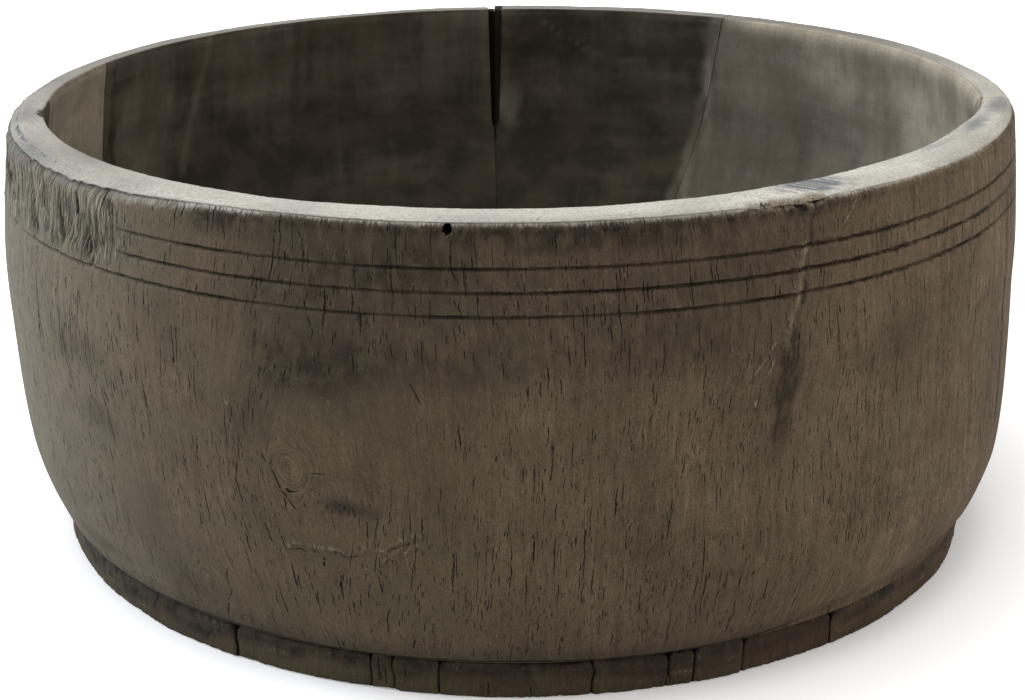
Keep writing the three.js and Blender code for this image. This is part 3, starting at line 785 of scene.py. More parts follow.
def wearInnerEdge(s, z, r, azimuth, walk, lipAt, within):
    # the rim's inner edge is torn out at the left, crisp at the near side and worn round at the far right
    splinter, soft = rimMarks["innerNotch"], insideMarks["softEdge"]
    middle = (aroundWall(splinter["at"][0]), splinter["at"][1])
    torn = spot(s, r + (wall["rimHeight"] - z), middle, splinter["reach"])
    torn = torn * (0.8 + 0.6 * hills(s / 1.3, r / 1.1 + z / 3, 56)) * within
    softShare = smooth(azimuth, soft["from"], soft["full"]) * (1 - smooth(azimuth, *soft["end"]))
    away = np.abs(walk - lipAt)
    relief = -within * soft["wear"] * softShare * (1 - np.clip(away / 6.5, 0, 1)) ** 2
    relief -= within * 0.12 * np.abs(hills(s / 3, 0, 57)) * (1 - np.clip(away / 1.5, 0, 1))
    relief -= splinter["depth"] * torn
    return relief, 0.7 * smooth(torn, 0.35, 0.9), 0.5 * softShare * bell(walk - lipAt, 7)


def shapeWallEnds(name, fromStart, fromEnd, z, onTop, onInner, onOuter):
    # arrises worn at the joints; one section stands proud of the next at the slanting joint inside
    crease = 1 - np.clip(np.minimum(fromStart, fromEnd) / 0.8, 0, 1)
    outward = 0.15 if name in ("wall_front", "wall_front_right") else 0.7
    worn = 0.05 if name in ("wall_back", "wall_right") else 0.35
    relief = -worn * crease ** 2 * np.where(onTop | onInner, 1.0, np.where(onOuter, outward, 0))
    dirt = 0.12 * crease * (onTop | onInner)
    tone = 0 * z
    if name == "wall_back":
        beside = fromStart + 1.6 * hills(z / 8, 0, 85)
        relief += (0.06 + 0.2 * smooth(z, 150, 166)) * np.exp(-fromStart / 6) * onInner
        # a pale band along the proud edge is a painted highlight
        tone += 0.26 * bell(beside - 1.5, 3.4)
        dirt = dirt * 0.2
    if name == "wall_right":
        beside = fromEnd + 1.6 * hills(z / 7, 0, 86)
        relief -= (0.03 + 0.1 * smooth(z, 150, 166)) * np.exp(-fromEnd / 5) * (onInner | onTop)
        # a dark band beside the joint here is painted shadow of the proud edge
        tone -= 0.12 * np.exp(-np.maximum(beside, 0) / 9) + 0.2 * bell(beside, 2.2) * smooth(z, 130, 150)
        dirt = dirt * 0.2
    if name in ("wall_back", "wall_back_left"):
        # the slot has pale edges; below its end the inside is painted dark, as the shade of the slot running
        # on deeper
        beside = fromEnd if name == "wall_back" else fromStart
        tone += 0.08 * bell(beside - 2.5, 2.0) * smooth(z, 112, 130)
        dirt += 0.55 * bell(beside, 1.7) * smooth(z, 101, 106) * (1 - smooth(z, 113, 117)) * onInner
    return relief, dirt, tone


def capEnd(points, faces, loop, outline, joint, side, azimuth, attributes):
    # closes one end of a section; a split end needs extra points where its slot begins
    count = len(outline)
    extraFlat = []
    if joint.get("split"):
        steps = np.arange(splitBottom + 1, wall["rimHeight"] - 2, 3.0)
        extraFlat = [(skinRadius - step, h) for h in steps for step in (0.0, wall["skinEdge"])]
    result = delaunay_2d_cdt(outline + extraFlat, [], [list(range(count))], 1, 1e-5)
    known, extra = {}, []
    for new, old in enumerate(result[3]):
        if old and old[0] < count:
            known[new] = int(loop[old[0]])
            continue
        radius, height = result[0][new]
        turn = float(np.radians(jointAzimuth(joint, azimuth, side, np.array(radius), np.array(height))))
        far = radius + float(hewnGrowth(math.degrees(turn), height))
        known[new] = len(points) + len(extra)
        extra.append((far * math.cos(turn), far * math.sin(turn), height))
    if extra:
        points = np.vstack([points, np.array(extra)])
        darkest = loop[np.argmax(attributes["wear"][loop, 0])]
        for key, value in attributes.items():
            attributes[key] = np.vstack([value, np.repeat(value[darkest][None], len(extra), 0)])
    for face in result[2]:
        corners = [known[c] for c in face]
        if len(set(corners)) == len(corners):
            faces.append(corners if side < 0 else corners[::-1])
    return points


def makeWallSection(section, following, material):
    name = section["name"]
    rows = wallRows(section["step"] < wallMesh["fineStep"])
    radius, height, part = (np.array([row[k] for row in rows])[:, None] for k in range(3))
    start = section["azimuth"]
    end = following["azimuth"] + (360 if following["azimuth"] < start else 0)
    share = columnShares(section, start, end)[None, :]
    first = jointAzimuth(section, start, 1, radius, height)
    last = jointAzimuth(following, end, -1, radius, height)
    azimuth = first + (last - first) * share
    s = np.radians(((start - 90) % 360) - 180 + azimuth - start) * wall["outerFace"]
    z, r = height + 0 * s, radius + 0 * s
    length = (last - first) * math.radians(1) * radius
    fromStart, fromEnd = share * length, (1 - share) * length

    # which way the outline faces, and how far along it each row is
    stepR = np.roll(radius, -1, 0) - np.roll(radius, 1, 0)
    stepZ = np.roll(height, -1, 0) - np.roll(height, 1, 0)
    outR, outZ = stepZ / np.hypot(stepR, stepZ), -stepR / np.hypot(stepR, stepZ)
    rowSteps = np.hypot(*(np.diff(line[:, 0], prepend=line[0, 0]) for line in (radius, height)))
    walk = np.cumsum(rowSteps)[:, None]
    edgeAt, lipAt = walk[part == "edge"].mean(), walk[part == "lip"].mean()
    onOuter, onInner = np.isin(part, ("outer", "edge")), np.isin(part, ("inner", "lip"))
    onTop = np.isin(part, ("edge", "rim", "lip"))

    # the incised lines rise and fall a little, and don't quite meet at the leaning joint
    grooveShift = 0.28 * hills(s / 60, 0, 4)
    if name == "wall_front_right":
        grooveShift = grooveShift + 0.4 * np.exp(-fromStart / 14)
    outerShare = np.where(onOuter, 1 - smooth(walk, edgeAt - 1.0, edgeAt + 0.8), 0) + 0 * s
    relief, shares, offsets = dressOutside(s, z, grooveShift)
    shares = {channel: value * outerShare for channel, value in shares.items()}
    # at the left, where the edge is worn round, the rim's pale top runs down over it
    over = 1 - pastAzimuth(s, 224, 250)
    ragged = (0.2 + 1.6 * over) * hills(s / 1.5, walk / 4, 90)
    ragged = ragged + (0.3 + 1.3 * over) * hills(s / 6, walk / 6, 93)
    chip = chipShare(s, walk, edgeAt, onOuter | onTop)
    topShare = smooth(walk + ragged, edgeAt - 3.2 - 6.5 * over, edgeAt + 0.3 + 1.4 * over)
    topShare = topShare * (onOuter | onTop) * (1 - 0.85 * chip)
    rimRelief, rimDirt, rimCool = dressRim(s, r)
    # the rim's top is painted darker to the left and round the back: painted shade
    turned = np.abs(np.degrees(s / wall["outerFace"]))
    rightShade = 0.15 * smooth(turned, 34, 54) + 0.7 * smooth(turned, 80, 130)
    leftShade = 0.55 * smooth(turned, 22, 48) + 0.3 * smooth(turned, 70, 110)
    rimShade = np.where(s > 0, rightShade, leftShade) + 0.1 * swells(s / 40, r / 12, 87)
    # the outside is browner to the right and more olive at the left
    drift = s + 20 * swells(s / 60, z / 50, 88)
    warmth = np.maximum(pastAzimuth(drift, 255, 292), 1 - pastAzimuth(drift, 100, 165))
    insideShare = np.where(onInner, smooth(walk, lipAt - 0.5, lipAt + 0.7), 0) + 0 * s
    insideRelief, insideDirt, tone = dressInside(s, z)
    outerRelief, outerDirt, outerDark = wearOuterEdge(s, z, r, walk, edgeAt, chip, onOuter, onTop)
    innerRelief, innerDirt, innerTone = wearInnerEdge(s, z, r, azimuth, walk, lipAt, (onTop | onInner) * 1.0)
    endRelief, endDirtAndShade, endTone = shapeWallEnds(name, fromStart, fromEnd, z, onTop, onInner, onOuter)
    marked = np.maximum(topShare, chip)
    relief = relief * outerShare + marked * rimRelief + insideShare * insideRelief
    relief += outerRelief + innerRelief + endRelief
    shares["dirt"] += marked * rimDirt + insideShare * insideDirt + outerDirt + innerDirt + endDirtAndShade
    shares["cool"] += topShare * rimCool
    shares["dark"] += outerDark
    shares["pale"] += 0.6 * chip
    # the open slot's faces are painted darker: painted shade in the slot
    inSlot = ((height > splitBottom - 1) & (radius < skinRadius))[:, 0]
    for joint, column in ((section, 0), (following, -1)):
        shares["dirt"][:, column] += 0.1 * inSlot * bool(joint.get("split"))

    swell = np.where(onTop | onInner, swellAt(azimuth, r, height), 0)
    grown = r + hewnGrowth(azimuth, height) - swell + relief * outR
    turn = np.radians(azimuth)
    points = np.stack([grown * np.cos(turn), grown * np.sin(turn), z + relief * outZ], -1).reshape(-1, 3)

    # end grain shows on the rim, so its pores are dots there: the pattern is walked through faster
    across, flowAlong, swirl = grainFlow(s, z)
    bent = shares["torn"] * (1.6 * hills(z / 9, s / 11, 98) + 0.6 * hills(z / 4, s / 5, 101))
    across = np.where(onOuter, across + bent, s)
    faster = np.where(np.isin(part, ("rim", "lip")), 9.0, np.where(part == "edge", 4.0, 1.0))[:, 0]
    along = wall["seamHeight"] + np.cumsum(rowSteps * faster)[:, None]
    along = np.where(part == "outer", flowAlong, along)
    tone = section["insideTone"] + tone + innerTone + endTone
    shares.update(offsets, top=topShare, inside=insideShare, tone=tone, rimShade=rimShade, warmth=warmth,
                  swirl=swirl * outerShare)
    attributes = packShares((across, along, 0 * s + section["log"]), shares)

    index = np.arange(s.size).reshape(s.shape)
    faces = gridFaces(index)
    roundFaces = len(faces)
    outline = [(float(row[0]), float(row[1])) for row in rows]
    points = capEnd(points, faces, index[:, 0], outline, section, 1, start, attributes)
    points = capEnd(points, faces, index[:, -1], outline, following, -1, end, attributes)
    makeMesh(name + "_wood", points, faces, roundFaces, attributes, material, name)
    print("made", name, "with", len(faces), "faces")


# The foot: blocks of uneven length, side by side. Joints are azimuths, measured where they show.

foot = {
    "radius": 187.5, "width": 30.0, "top": 14.3, "gap": 0.16,
    "joints": [200, 238, 254.5, 257, 262, 278, 286, 289, 295, 307, 342], "hiddenBlocks": 8,
    "edgeRounding": 1.5, "cornerRounding": 2.8,
    # the blocks between these azimuths can show, so their mesh's columns are closer together
    "shown": (195, 345), "shownStep": 1.0, "hiddenStep": 2.5,
    "cracks": [
        # path of (azimuth, height) and width
        ([(255.3, 13.0), (255.5, 3.0)], 0.3), ([(256.1, 9.0), (256.2, 1.5)], 0.28),
        ([(258.2, 12.0), (258.4, 5.0)], 0.28), ([(262.2, 14.2), (263.3, 12.6), (264.3, 10.6)], 0.3),
        ([(267.0, 6.5), (267.1, 0.5)], 0.35), ([(235.0, 9.0), (233.6, 3.0)], 0.3),
        ([(309.2, 7.0), (309.4, 5.6)], 0.7), ([(344.5, 11.0), (344.0, 8.0)], 1.6),
        ([(286.3, 13.6), (286.2, 6.0), (286.5, 1.0)], 0.3), ([(271.5, 5.5), (271.5, 0.5)], 0.25),
        ([(226.0, 12.0), (224.6, 5.0)], 0.3), ([(222.0, 11.0), (220.6, 4.0)], 0.3),
        ([(246.0, 3.5), (246.1, 0.4)], 0.3),
    ],
}


def makeFootBlock(number, start, end, material):
    source = np.random.default_rng(100 + number)
    proud, low = source.uniform(-0.5, 0.3), source.uniform(0.1, 0.7)
    outer, rounding, top = foot["radius"], foot["edgeRounding"], foot["top"] - low
    inner = outer - foot["width"]
    rows = [(inner, 0.6), (inner + 0.6, 0.0)]
    rows += [(r, 0.0) for r in np.arange(inner + 6, outer - 1.0, 6.0)]
    rows += [(outer - 0.8, 0.0), (outer - 0.25, 0.25), (outer, 0.8)]
    rows += [(outer, h) for h in np.arange(1.6, top - rounding - 0.2, 0.8)]
    rows += [(outer - rounding * inward, top - rounding * down) for inward, down in quarterTurn(6)]
    rows += [(r, top) for r in np.arange(outer - rounding - 0.8, outer - 6, -0.9)]
    rows += [(r, top) for r in np.arange(outer - 8, inner + 2, -5.0)]
    rows += [(inner + 0.6, top), (inner, top - 0.6)]
    radius, height = np.array(rows)[:, :1], np.array(rows)[:, 1:]

    length = math.radians(end - start) * outer
    shown = foot["shown"][0] <= start <= foot["shown"][1]
    columns = max(int(length / foot["shownStep" if shown else "hiddenStep"]), 3)
    ends = np.array([0, 0.25, 0.6, 1.1, 1.8, 2.6]) / length
    ends = ends[ends < 0.45]
    share = np.unique(np.concatenate([ends, np.linspace(0, 1, columns + 1)[1:-1], 1 - ends]))[None, :]
    trim = math.degrees(foot["gap"] / 2 / outer)
    azimuth = start + trim + (end - start - 2 * trim) * share
    bend = 0.6 * ((1 - share) * hills(height / 5, start, 82) + share * hills(height / 5, end, 82))
    azimuth = azimuth + np.degrees(bend * smooth(radius, outer - 8, outer - 3) / outer)
    s = np.radians(azimuth - 270) * outer + 0 * radius
    toEnd = np.minimum(share, 1 - share) * length + 0 * radius
    onFace = smooth(radius, outer - 6, outer - 2)

    def past(low, high):
        # 0 before the first number of degrees from the middle of the front, and 1 past the second
        return smooth(s, math.radians(low) * outer, math.radians(high) * outer)

    # upper corners rounded, upright edges eased, and a hewn face that is a little uneven
    corner = foot["cornerRounding"] * (0.7 + 0.6 * source.uniform(0, 1))
    drop = corner - np.sqrt(np.clip(corner ** 2 - np.clip(corner - toEnd, 0, None) ** 2, 0, None))
    z = height * (1 - onFace * np.minimum(drop, 0.8 * top) / top) + 0 * s
    z -= onFace * smooth(height, 8, top) * (0.5 + 0.5 * hills(s / 9, 0, 70) + 0.35 * hills(s / 2.2, 0, 71))
    z = np.maximum(z, 0) + 0.35 * onFace * (height < 0.5) * np.abs(hills(s / 3, 0, 72))
    relief = proud - 0.3 + 0.3 * swells(s / 26, z / 14, 73) + 0.14 * hills(s / 4, z / 5, 74)
    relief -= 0.5 * (1 - np.clip(toEnd / 1.3, 0, 1)) ** 2 + 0.5 * smooth(z, 9, 14) * (start < 300)
    around = np.radians(azimuth - 270) * wall["outerFace"] + 0 * z
    lineOffset, lineShare = nearestLine(around, z, foot["cracks"])
    nicks = hills(s / 0.8, z / 5, 76) * (1 - smooth(z, 1.0, 5.0))
    relief -= 0.3 * lineShare * bell(lineOffset, 0.5) + 0.35 * smooth(nicks, 0.3, 0.9)

    # a dark line along the block tops, under the wall, is painted shade in the seam
    seam = 0.9 * (1 - 0.8 * (start > 296)) * (0.8 + 0.4 * hills(s / 6, 0, 91))
    dirt = 0.8 * (1 - smooth(toEnd, 0.1, 0.6)) + seam * smooth(height, top - 1.1, top - 0.2)
    dirt += 0.5 * smooth(nicks, 0.4, 0.9)
    dark = 0.7 * smooth(z + 2.2 * hills(s / 12, 0, 77), 4.0, 9.0) * (0.8 + 0.3 * swells(s / 16, z / 5, 78))
    shares = {
        "dirt": dirt * onFace, "dark": dark + 0.1 + 0.3 * (1 - past(-50, -10)), "calm": 0.3,
        "pale": 0.25 * smooth(hills(s / 7, z / 1.8, 79), 0.3, 0.9), "cool": 0.12 * (1 - past(-70, -30)),
        "lineOffset": lineOffset, "lineShare": lineShare, "grooveOffset": 50, "warmth": past(-15, 22),
    }
    grain = (s + 0.8 * hills(s / 12, z / 9, 80), height + 0 * s + 30 * number, 0 * s + number)

    grown, turn = radius + relief * onFace, np.radians(azimuth)
    points = np.stack([grown * np.cos(turn), grown * np.sin(turn), z], -1)
    index = np.arange(s.size).reshape(s.shape)
    faces = gridFaces(index)
    roundFaces = len(faces)
    outline = [(float(a), float(b)) for a, b in rows]
    result = delaunay_2d_cdt(outline, [], [list(range(len(rows)))], 1, 1e-5)
    for loop, turned in ((index[:, 0], True), (index[:, -1], False)):
        for face in result[2]:
            corners = [int(loop[result[3][c][0]]) for c in face]
            faces.append(corners[::-1] if turned else corners)
    name = "foot_block_%02d" % number
    attributes = packShares(grain, shares)
    makeMesh(name + "_wood", points, faces, roundFaces, attributes, material, name)


def makeFoot(material):
    hidden = (foot["joints"][0] + 360 - foot["joints"][-1]) / foot["hiddenBlocks"]
    joints = foot["joints"] + [foot["joints"][-1] + hidden * k for k in range(1, foot["hiddenBlocks"] + 1)]
    for number, (start, end) in enumerate(zip(joints, joints[1:]), 1):
        makeFootBlock(number, start, end, material)
    print("made", len(joints) - 1, "foot blocks")


# The floor: one board, scraped along its grain, let into the wall

floorBoard = {
    "radius": 171.0, "underside": 24.0, "top": 38.8, "bevel": 4.0, "arris": 0.6,
    "ringStep": 2.4, "undersideStep": 9.0, "turnSteps": 360, "toolWidth": 16.0, "toolDepth": 0.45,
    # one drying check along the grain: how far it lies from the middle, its width and its depth
    "checkAt": 31.0, "checkWidth": 1.3, "checkDepth": 0.8,
}


def makeFloorBoard(material):
    edge, top, underside, arris = (floorBoard[key] for key in ("radius", "top", "underside", "arris"))
    rows = [(r, top, 1.0) for r in [*np.arange(1.0, edge - 2, floorBoard["ringStep"]), edge - arris]]
    rows += [(edge, top - arris, 0.0), (edge, underside + floorBoard["bevel"], 0.0)]
    rows += [(edge - floorBoard["bevel"], underside, 0.0)]
    rows += [(r, underside, -1.0) for r in [*np.arange(edge - 12, 1.0, -floorBoard["undersideStep"]), 1.0]]
    radius, height, side = (np.array(rows)[:, k][:, None] for k in range(3))
    turn = np.radians(np.linspace(0, 360, floorBoard["turnSteps"], endpoint=False))[None, :]
    x, y = radius * np.cos(turn), radius * np.sin(turn)
    tool = y + 3 * swells(x / 60, y / 30, 90)
    ridge = 1 - np.abs(np.sin(math.pi * tool / floorBoard["toolWidth"]))
    check = bell(y - floorBoard["checkAt"] + 1.5 * hills(x / 12, 0, 92), floorBoard["checkWidth"])
    check = check * smooth(x, -150, -60) * (1 - smooth(x, 10, 60))
    relief = -floorBoard["toolDepth"] * ridge - 0.075 * hills(x / 30, y / 3, 91) - 0.2
    relief = (relief - floorBoard["checkDepth"] * check) * (side > 0) + 0 * x
    points = np.stack([x, y, height + relief], -1)
    shares = {
        "calm": 0.2, "cool": 0.15, "warmth": 0.6, "lineOffset": 50, "grooveOffset": 50,
        "dark": 0.5 * smooth(radius, 135, 168) + 0.25 * swells(x / 70, y / 50, 93) + 0.1,
        "dirt": check + 0.6 * smooth(radius, 163, 168) + 0.3 * ridge ** 4,
        "pale": 0.2 * hills(x / 40, y / 4, 95),
    }
    attributes = packShares((y + 1.2 * swells(x / 80, y / 30, 94), x, 0 * x + 7), shares)
    index = np.arange(x.size).reshape(x.shape)
    faces = gridFaces(index.T)
    roundFaces = len(faces)
    faces += [index[0].tolist(), index[-1][::-1].tolist()]
    makeMesh("floor_board_wood", points, faces, roundFaces, attributes, material, "floor_board")
    print("made the floor board")


# Materials. Wood with no finish: it is matt, and its colour comes from age, light and dirt.

hewnHardwood = {
    # weathered hardwood, hewn and scraped: grey over brown, dry, with open dark pores that follow the grain
    "dark": "#40362b", "middle": "#5c4f41", "light": "#7a6a57", "dirt": "#110d09",
    "stain": "#322b23", "pale": "#aba08c", "cool": "#88887e", "olive": "#575240",
    # the last of the rim's colours, a darker grey, is painted shade
    "rimDark": "#98948a", "rimLight": "#cdc9be", "rimCool": "#6b6d70", "rimShadeGrey": "#76726a",
    "insideDark": "#322d25", "insidePale": "#a29a8a",
    # how strongly each pattern shows in the wood's tone
    "tone": {"cloud": 0.75, "streak": 0.45, "fibre": 0.65, "mottle": 0.8, "patch": 0.5, "scrape": 0.2},
    # three kinds of pore: the space that each has, across and along the grain in millimetres,
    # and its half width as a share of that
    "pores": [((0.9, 9.0), 0.16), ((1.25, 28.0), 0.14), ((1.9, 80.0), 0.11)],
    "poreShare": 1.0, "roughness": 0.82, "specular": 0.1, "bumpHeight": 0.3,
}
# sawn blocks, dark, and darker towards the wall
footTimber = dict(hewnHardwood, dark="#31271e", middle="#463a2e", light="#604f3e", stain="#25201c",
                  pores=[((1.1, 4.0), 0.14), ((1.4, 9.0), 0.1)], poreShare=0.7)
# a board scraped along its grain, a little paler, with shallow tool marks
floorTimber = dict(hewnHardwood, dark="#43392d", middle="#625443", light="#7d6d58",
                   pores=[((1.0, 9.0), 0.16), ((1.6, 22.0), 0.12)])
# clean split oak, hidden from weather: yellower, with short open pores
splitOak = dict(hewnHardwood, dark="#6d5a41", middle="#8a7455", light="#a48d6b",
                pores=[((0.8, 5.0), 0.18)], poreShare=0.7)
# The patterns of all these woods: their sizes in millimetres across the grain, along it and from log to log,
# and their detail. Real fibres are finer, and are drawn as coarse as they need to show.
woodPatterns = {
    "fibre": (0.4, 6.0, 3.0, 2.0), "streak": (2.2, 50.0, 5.0, 2.0), "mottle": (0.5, 0.85, 3.0, 3.0),
    "scrape": (3.2, 0.5, 3.0, 2.0), "cloud": (30.0, 36.0, 7.0, 4.0), "patch": (4.0, 7.0, 5.0, 3.0),
    "crowd": (12.0, 20.0, 5.0, 2.0), "gaps": (0.8, 1.5, 3.0, 1.0),
}
# The patterns of wear. On the rim's top one millimetre of radius is nine of the pattern, so sand and scratch
# are grains and scratches there. Inside, the scraper went round: level bands over faint upright streaks.
wornPatterns = {
    "strands": (0.42, 8.0, 3.0, 3.0), "broken": (0.7, 1.6, 3.0, 3.0), "wobble": (1.0, 1.4, 3.0, 2.0),
    "held": (2.2, 2.6, 3.0, 2.0), "smears": (5.0, 0.8, 3.0, 3.0), "specks": (0.9, 4.5, 3.0, 1.0),
    "sand": (1.1, 9.0, 3.0, 3.0), "scratch": (11.0, 4.5, 3.0, 3.0), "bands": (34.0, 6.0, 9.0, 3.0),
    "streaks": (5.0, 60.0, 9.0, 3.0), "olive": (22.0, 17.0, 5.0, 3.0),
}
# the fibres wander a little on their way up, and these patterns with them
wander = {
    "size": (2.6, 6.0, 3.0), "detail": 3.0, "reach": (1.7, 0.0, 0.0), "taken": ("fibre", "streak", "strands"),
}


def makeWood(name, look, carved=True):
    # carved pieces carry their grain and wear as attributes; plain ones take the grain from their place
    material = bpy.data.materials.new(name)
    material.use_nodes = True
    tree = material.node_tree
    shader = tree.nodes["Principled BSDF"]
    add = partial(addNode, tree)
    plus, minus, times, over, most, least, timesPlus = (
        {"operation": kind} for kind in
        ("ADD", "SUBTRACT", "MULTIPLY", "DIVIDE", "MAXIMUM", "MINIMUM", "MULTIPLY_ADD"))
    eased = {"interpolation_type": "SMOOTHSTEP"}

    if carved:
        grain, worn = add("Attribute", output="Vector", attribute_name="grain"), {}
        for key, channels in carvedShares.items():
            vector = add("Attribute", output="Vector", attribute_name=key)
            worn.update(zip(channels, add("SeparateXYZ", [vector]).node.outputs))
    else:
        place = add("VectorMath", {0: add("TexCoord", output="Object"), "Scale": 1 / mm}, operation="SCALE")
        x, y, z = add("SeparateXYZ", [place]).node.outputs
        grain = add("CombineXYZ", [add("Math", (x, y), **plus), z, add("Math", (y, 0.2), **times)])

    bend = add("TexNoise", {"Vector": add("VectorMath", (grain, wander["size"]), **over), "Scale": 1.0,
                            "Detail": wander["detail"]}, "Color")
    flowing = add("VectorMath", (bend, wander["reach"], grain), **timesPlus)
    noise = {}
    for key, (*size, detail) in {**woodPatterns, **(wornPatterns if carved else {})}.items():
        place = add("VectorMath", (flowing if key in wander["taken"] else grain, size), **over)
        noise[key] = add("TexNoise", {"Vector": place, "Scale": 1.0, "Detail": detail})

    def swung(start, **weights):
        # patterns added up round a start, each swinging to both sides by its weight
        total = add("Math", (start, -sum(weights.values()) / 2), **plus)
        for key, weight in weights.items():
            total = add("Math", (noise[key], weight, total), **timesPlus)
        return total

    def laidOver(colour, *layers):
        # colours laid over one another, each by its share
        for share, key in layers:
            colour = add("Mix", {0: share, 6: colour, 7: toLinear(look[key])}, 2, data_type="RGBA")
        return colour

    # pores crowd in places, are fewer in calm wood, and are broken up along their length
    density = add("MapRange", (noise["crowd"], 0.32, 0.64, 0.6, 1.2), **eased)
    if carved:
        density = add("Math", (worn["calm"], -0.35, density), **timesPlus)
    gaps = add("MapRange", (noise["gaps"], 0.3, 0.62, 0.6, 1.15), **eased)
    density = add("Math", (add("Math", (density, gaps), **times), 1.3), **least)
    pores = 0.0
    for space, widest in look["pores"]:
        # one dark dash in each random cell, of its own size, lying along the grain
        place = add("VectorMath", (flowing, (*space, 1.0)), **over)
        cells = add("TexVoronoi", {"Vector": place, "Scale": 1.0}, voronoi_dimensions="2D").node.outputs
        width = add("MapRange", (add("SeparateColor", [cells["Color"]]), 0.1, 1.0, 0.0, widest), **eased)
        width = add("Math", (add("Math", (width, density), **times), 0.001), **most)
        dash = add("MapRange", (add("Math", (cells["Distance"], width), **over), 1.0, 0.72), **eased)
        pores = add("Math", (pores, dash), **most)

    tone = swung(0.5, **look["tone"])
    if carved:
        # round a knot the fibres show most
        tone = add("Math", (swung(0.0, fibre=2.0), worn["swirl"], tone), **timesPlus)
    colour = add("ValToRGB", [tone])
    ramp = colour.node.color_ramp
    ramp.elements[0].color = toLinear(look["dark"])
    ramp.elements[0].position = 0.12
    ramp.elements[1].color = toLinear(look["light"])
    ramp.elements[1].position = 0.88
    ramp.elements.new(0.5).color = toLinear(look["middle"])

    if carved:
        # edges of stains, dirt, painted shade and scratches are broken up by the fibres
        topEdge = add("MapRange", (swung(worn["top"], broken=0.9), 0.08, 0.92), **eased)
        dirtAndShadeEdge = add("MapRange", (swung(worn["dirt"], broken=0.9), 0.22, 0.85), **eased)
        paleEdge = add("MapRange", (swung(worn["pale"], broken=0.8), 0.12, 0.95, 0.0, 0.75), **eased)

        def thinLine(offset, share, wobble, reach, core, breaks):
            # a line drawn finer than the mesh: it wavers, and is weaker in places
            away = add("Math", [swung(worn[offset], wobble=wobble)], operation="ABSOLUTE")
            line = add("Math", (add("MapRange", (away, reach, core), **eased), worn[share]), **times)
            return add("Math", (line, add("MapRange", breaks, **eased)), **times)

        # thin cracks, and the cores of the incised lines, whose dark is partly dirt and partly painted shade
        breaks = (noise["held"], 0.36, 0.5, 0.2, 1.0)
        cracks = thinLine("lineOffset", "lineShare", 0.9, 0.34, 0.1, breaks)
        breaks = (noise["smears"], 0.34, 0.58, 0.35, 0.88)
        groove = thinLine("grooveOffset", "grooveShare", 1.17, 0.55, 0.12, breaks)
        dirtAndShadeEdge = add("Math", (dirtAndShadeEdge, groove), **most)
        dirtAndShadeEdge = add("Math", (dirtAndShadeEdge, add("Math", (cracks, 0.95), **times)), **most)
        # torn wood: dark between its strands and pale on them
        strandDark, strandPale = (
            add("Math", (add("MapRange", (noise["strands"], *reach), **eased), worn["torn"]), **times)
            for reach in ((0.48, 0.38, 0.0, 0.9), (0.53, 0.66, 0.0, 0.6)))
        mottled = add("MapRange", (noise["mottle"], 0.3, 0.7, 0.75, 1.0), **eased)
        patched = add("MapRange", (noise["patch"], 0.36, 0.6, 0.6, 1.25), **eased)
        stained = add("Math", (worn["dark"], add("Math", (mottled, patched), **times)), **times)
        stained = add("Math", (stained, 1.0), **least)
        specks = add("MapRange", (noise["specks"], 0.62, 0.75, 0.0, 0.3), **eased)
        # the rim's colour, with painted shade laid over it to the left and round the back
        rimTone = swung(0.68, sand=1.4, scratch=0.6, cloud=0.5)
        rimColour = laidOver(toLinear(look["rimDark"]), (rimTone, "rimLight"), (specks, "middle"),
                             (worn["rimShade"], "rimShadeGrey"), (worn["cool"], "rimCool"))
        olive = add("MapRange", (noise["olive"], 0.4, 0.62), **eased)
        insideTone = swung(worn["tone"], bands=0.22, streaks=0.08, patch=0.1)
        innerColour = laidOver(toLinear(look["insideDark"]), (insideTone, "insidePale"),
                               (add("MapRange", (tone, 0.2, 0.8, 0.25, 0.0), **eased), "stain"),
                               (add("Math", (olive, 0.3), **times), "olive"))
        greener = add("Math", (olive, worn["warmth"]), **minus)
        greener = add("MapRange", (greener, -1.2, 1.1, 0.0, 0.5), **eased)
        paleShare = add("Math", (paleEdge, strandPale), **most)
        colour = laidOver(colour, (greener, "olive"), (add("Math", (worn["cool"], 0.6), **times), "cool"),
                          (stained, "stain"), (paleShare, "pale"), (strandDark, "dirt"))
        for share, region in ((topEdge, rimColour), (worn["inside"], innerColour)):
            colour = add("Mix", {0: share, 6: colour, 7: region}, 2, data_type="RGBA")
        # few pores show in calm wood, inside and on the rim
        covered = 0.0
        for key, weight in (("calm", 0.85), ("inside", 0.95), ("top", 0.65)):
            covered = add("Math", (covered, add("Math", (worn[key], weight), **times)), **most)
        pores = add("Math", (pores, add("Math", (1.0, covered), **minus)), **times)
    colour = laidOver(colour, (add("Math", (pores, look["poreShare"]), **times), "dirt"))
    raised = swung(0.0, fibre=0.7, mottle=0.7, scrape=0.3)
    if carved:
        colour = laidOver(colour, (dirtAndShadeEdge, "dirt"))
        pores = add("Math", (pores, cracks), **most)
        strands = add("Math", (noise["strands"], worn["torn"]), **times)
        raised = add("Math", (strands, 2.5, raised), **timesPlus)
        grains = add("Math", (noise["sand"], noise["scratch"]), **plus)
        raised = add("Math", (grains, add("Math", (worn["top"], 1.2), **times), raised), **timesPlus)
    bump = add("Bump", {"Strength": 1.0, "Distance": look["bumpHeight"] * mm,
                        "Height": add("Math", (raised, pores), **minus)})
    tree.links.new(colour, shader.inputs["Base Color"])
    tree.links.new(bump, shader.inputs["Normal"])
    shader.inputs["Roughness"].default_value = look["roughness"]
    shader.inputs["Specular IOR Level"].default_value = look["specular"]
    return material


# Light and floor

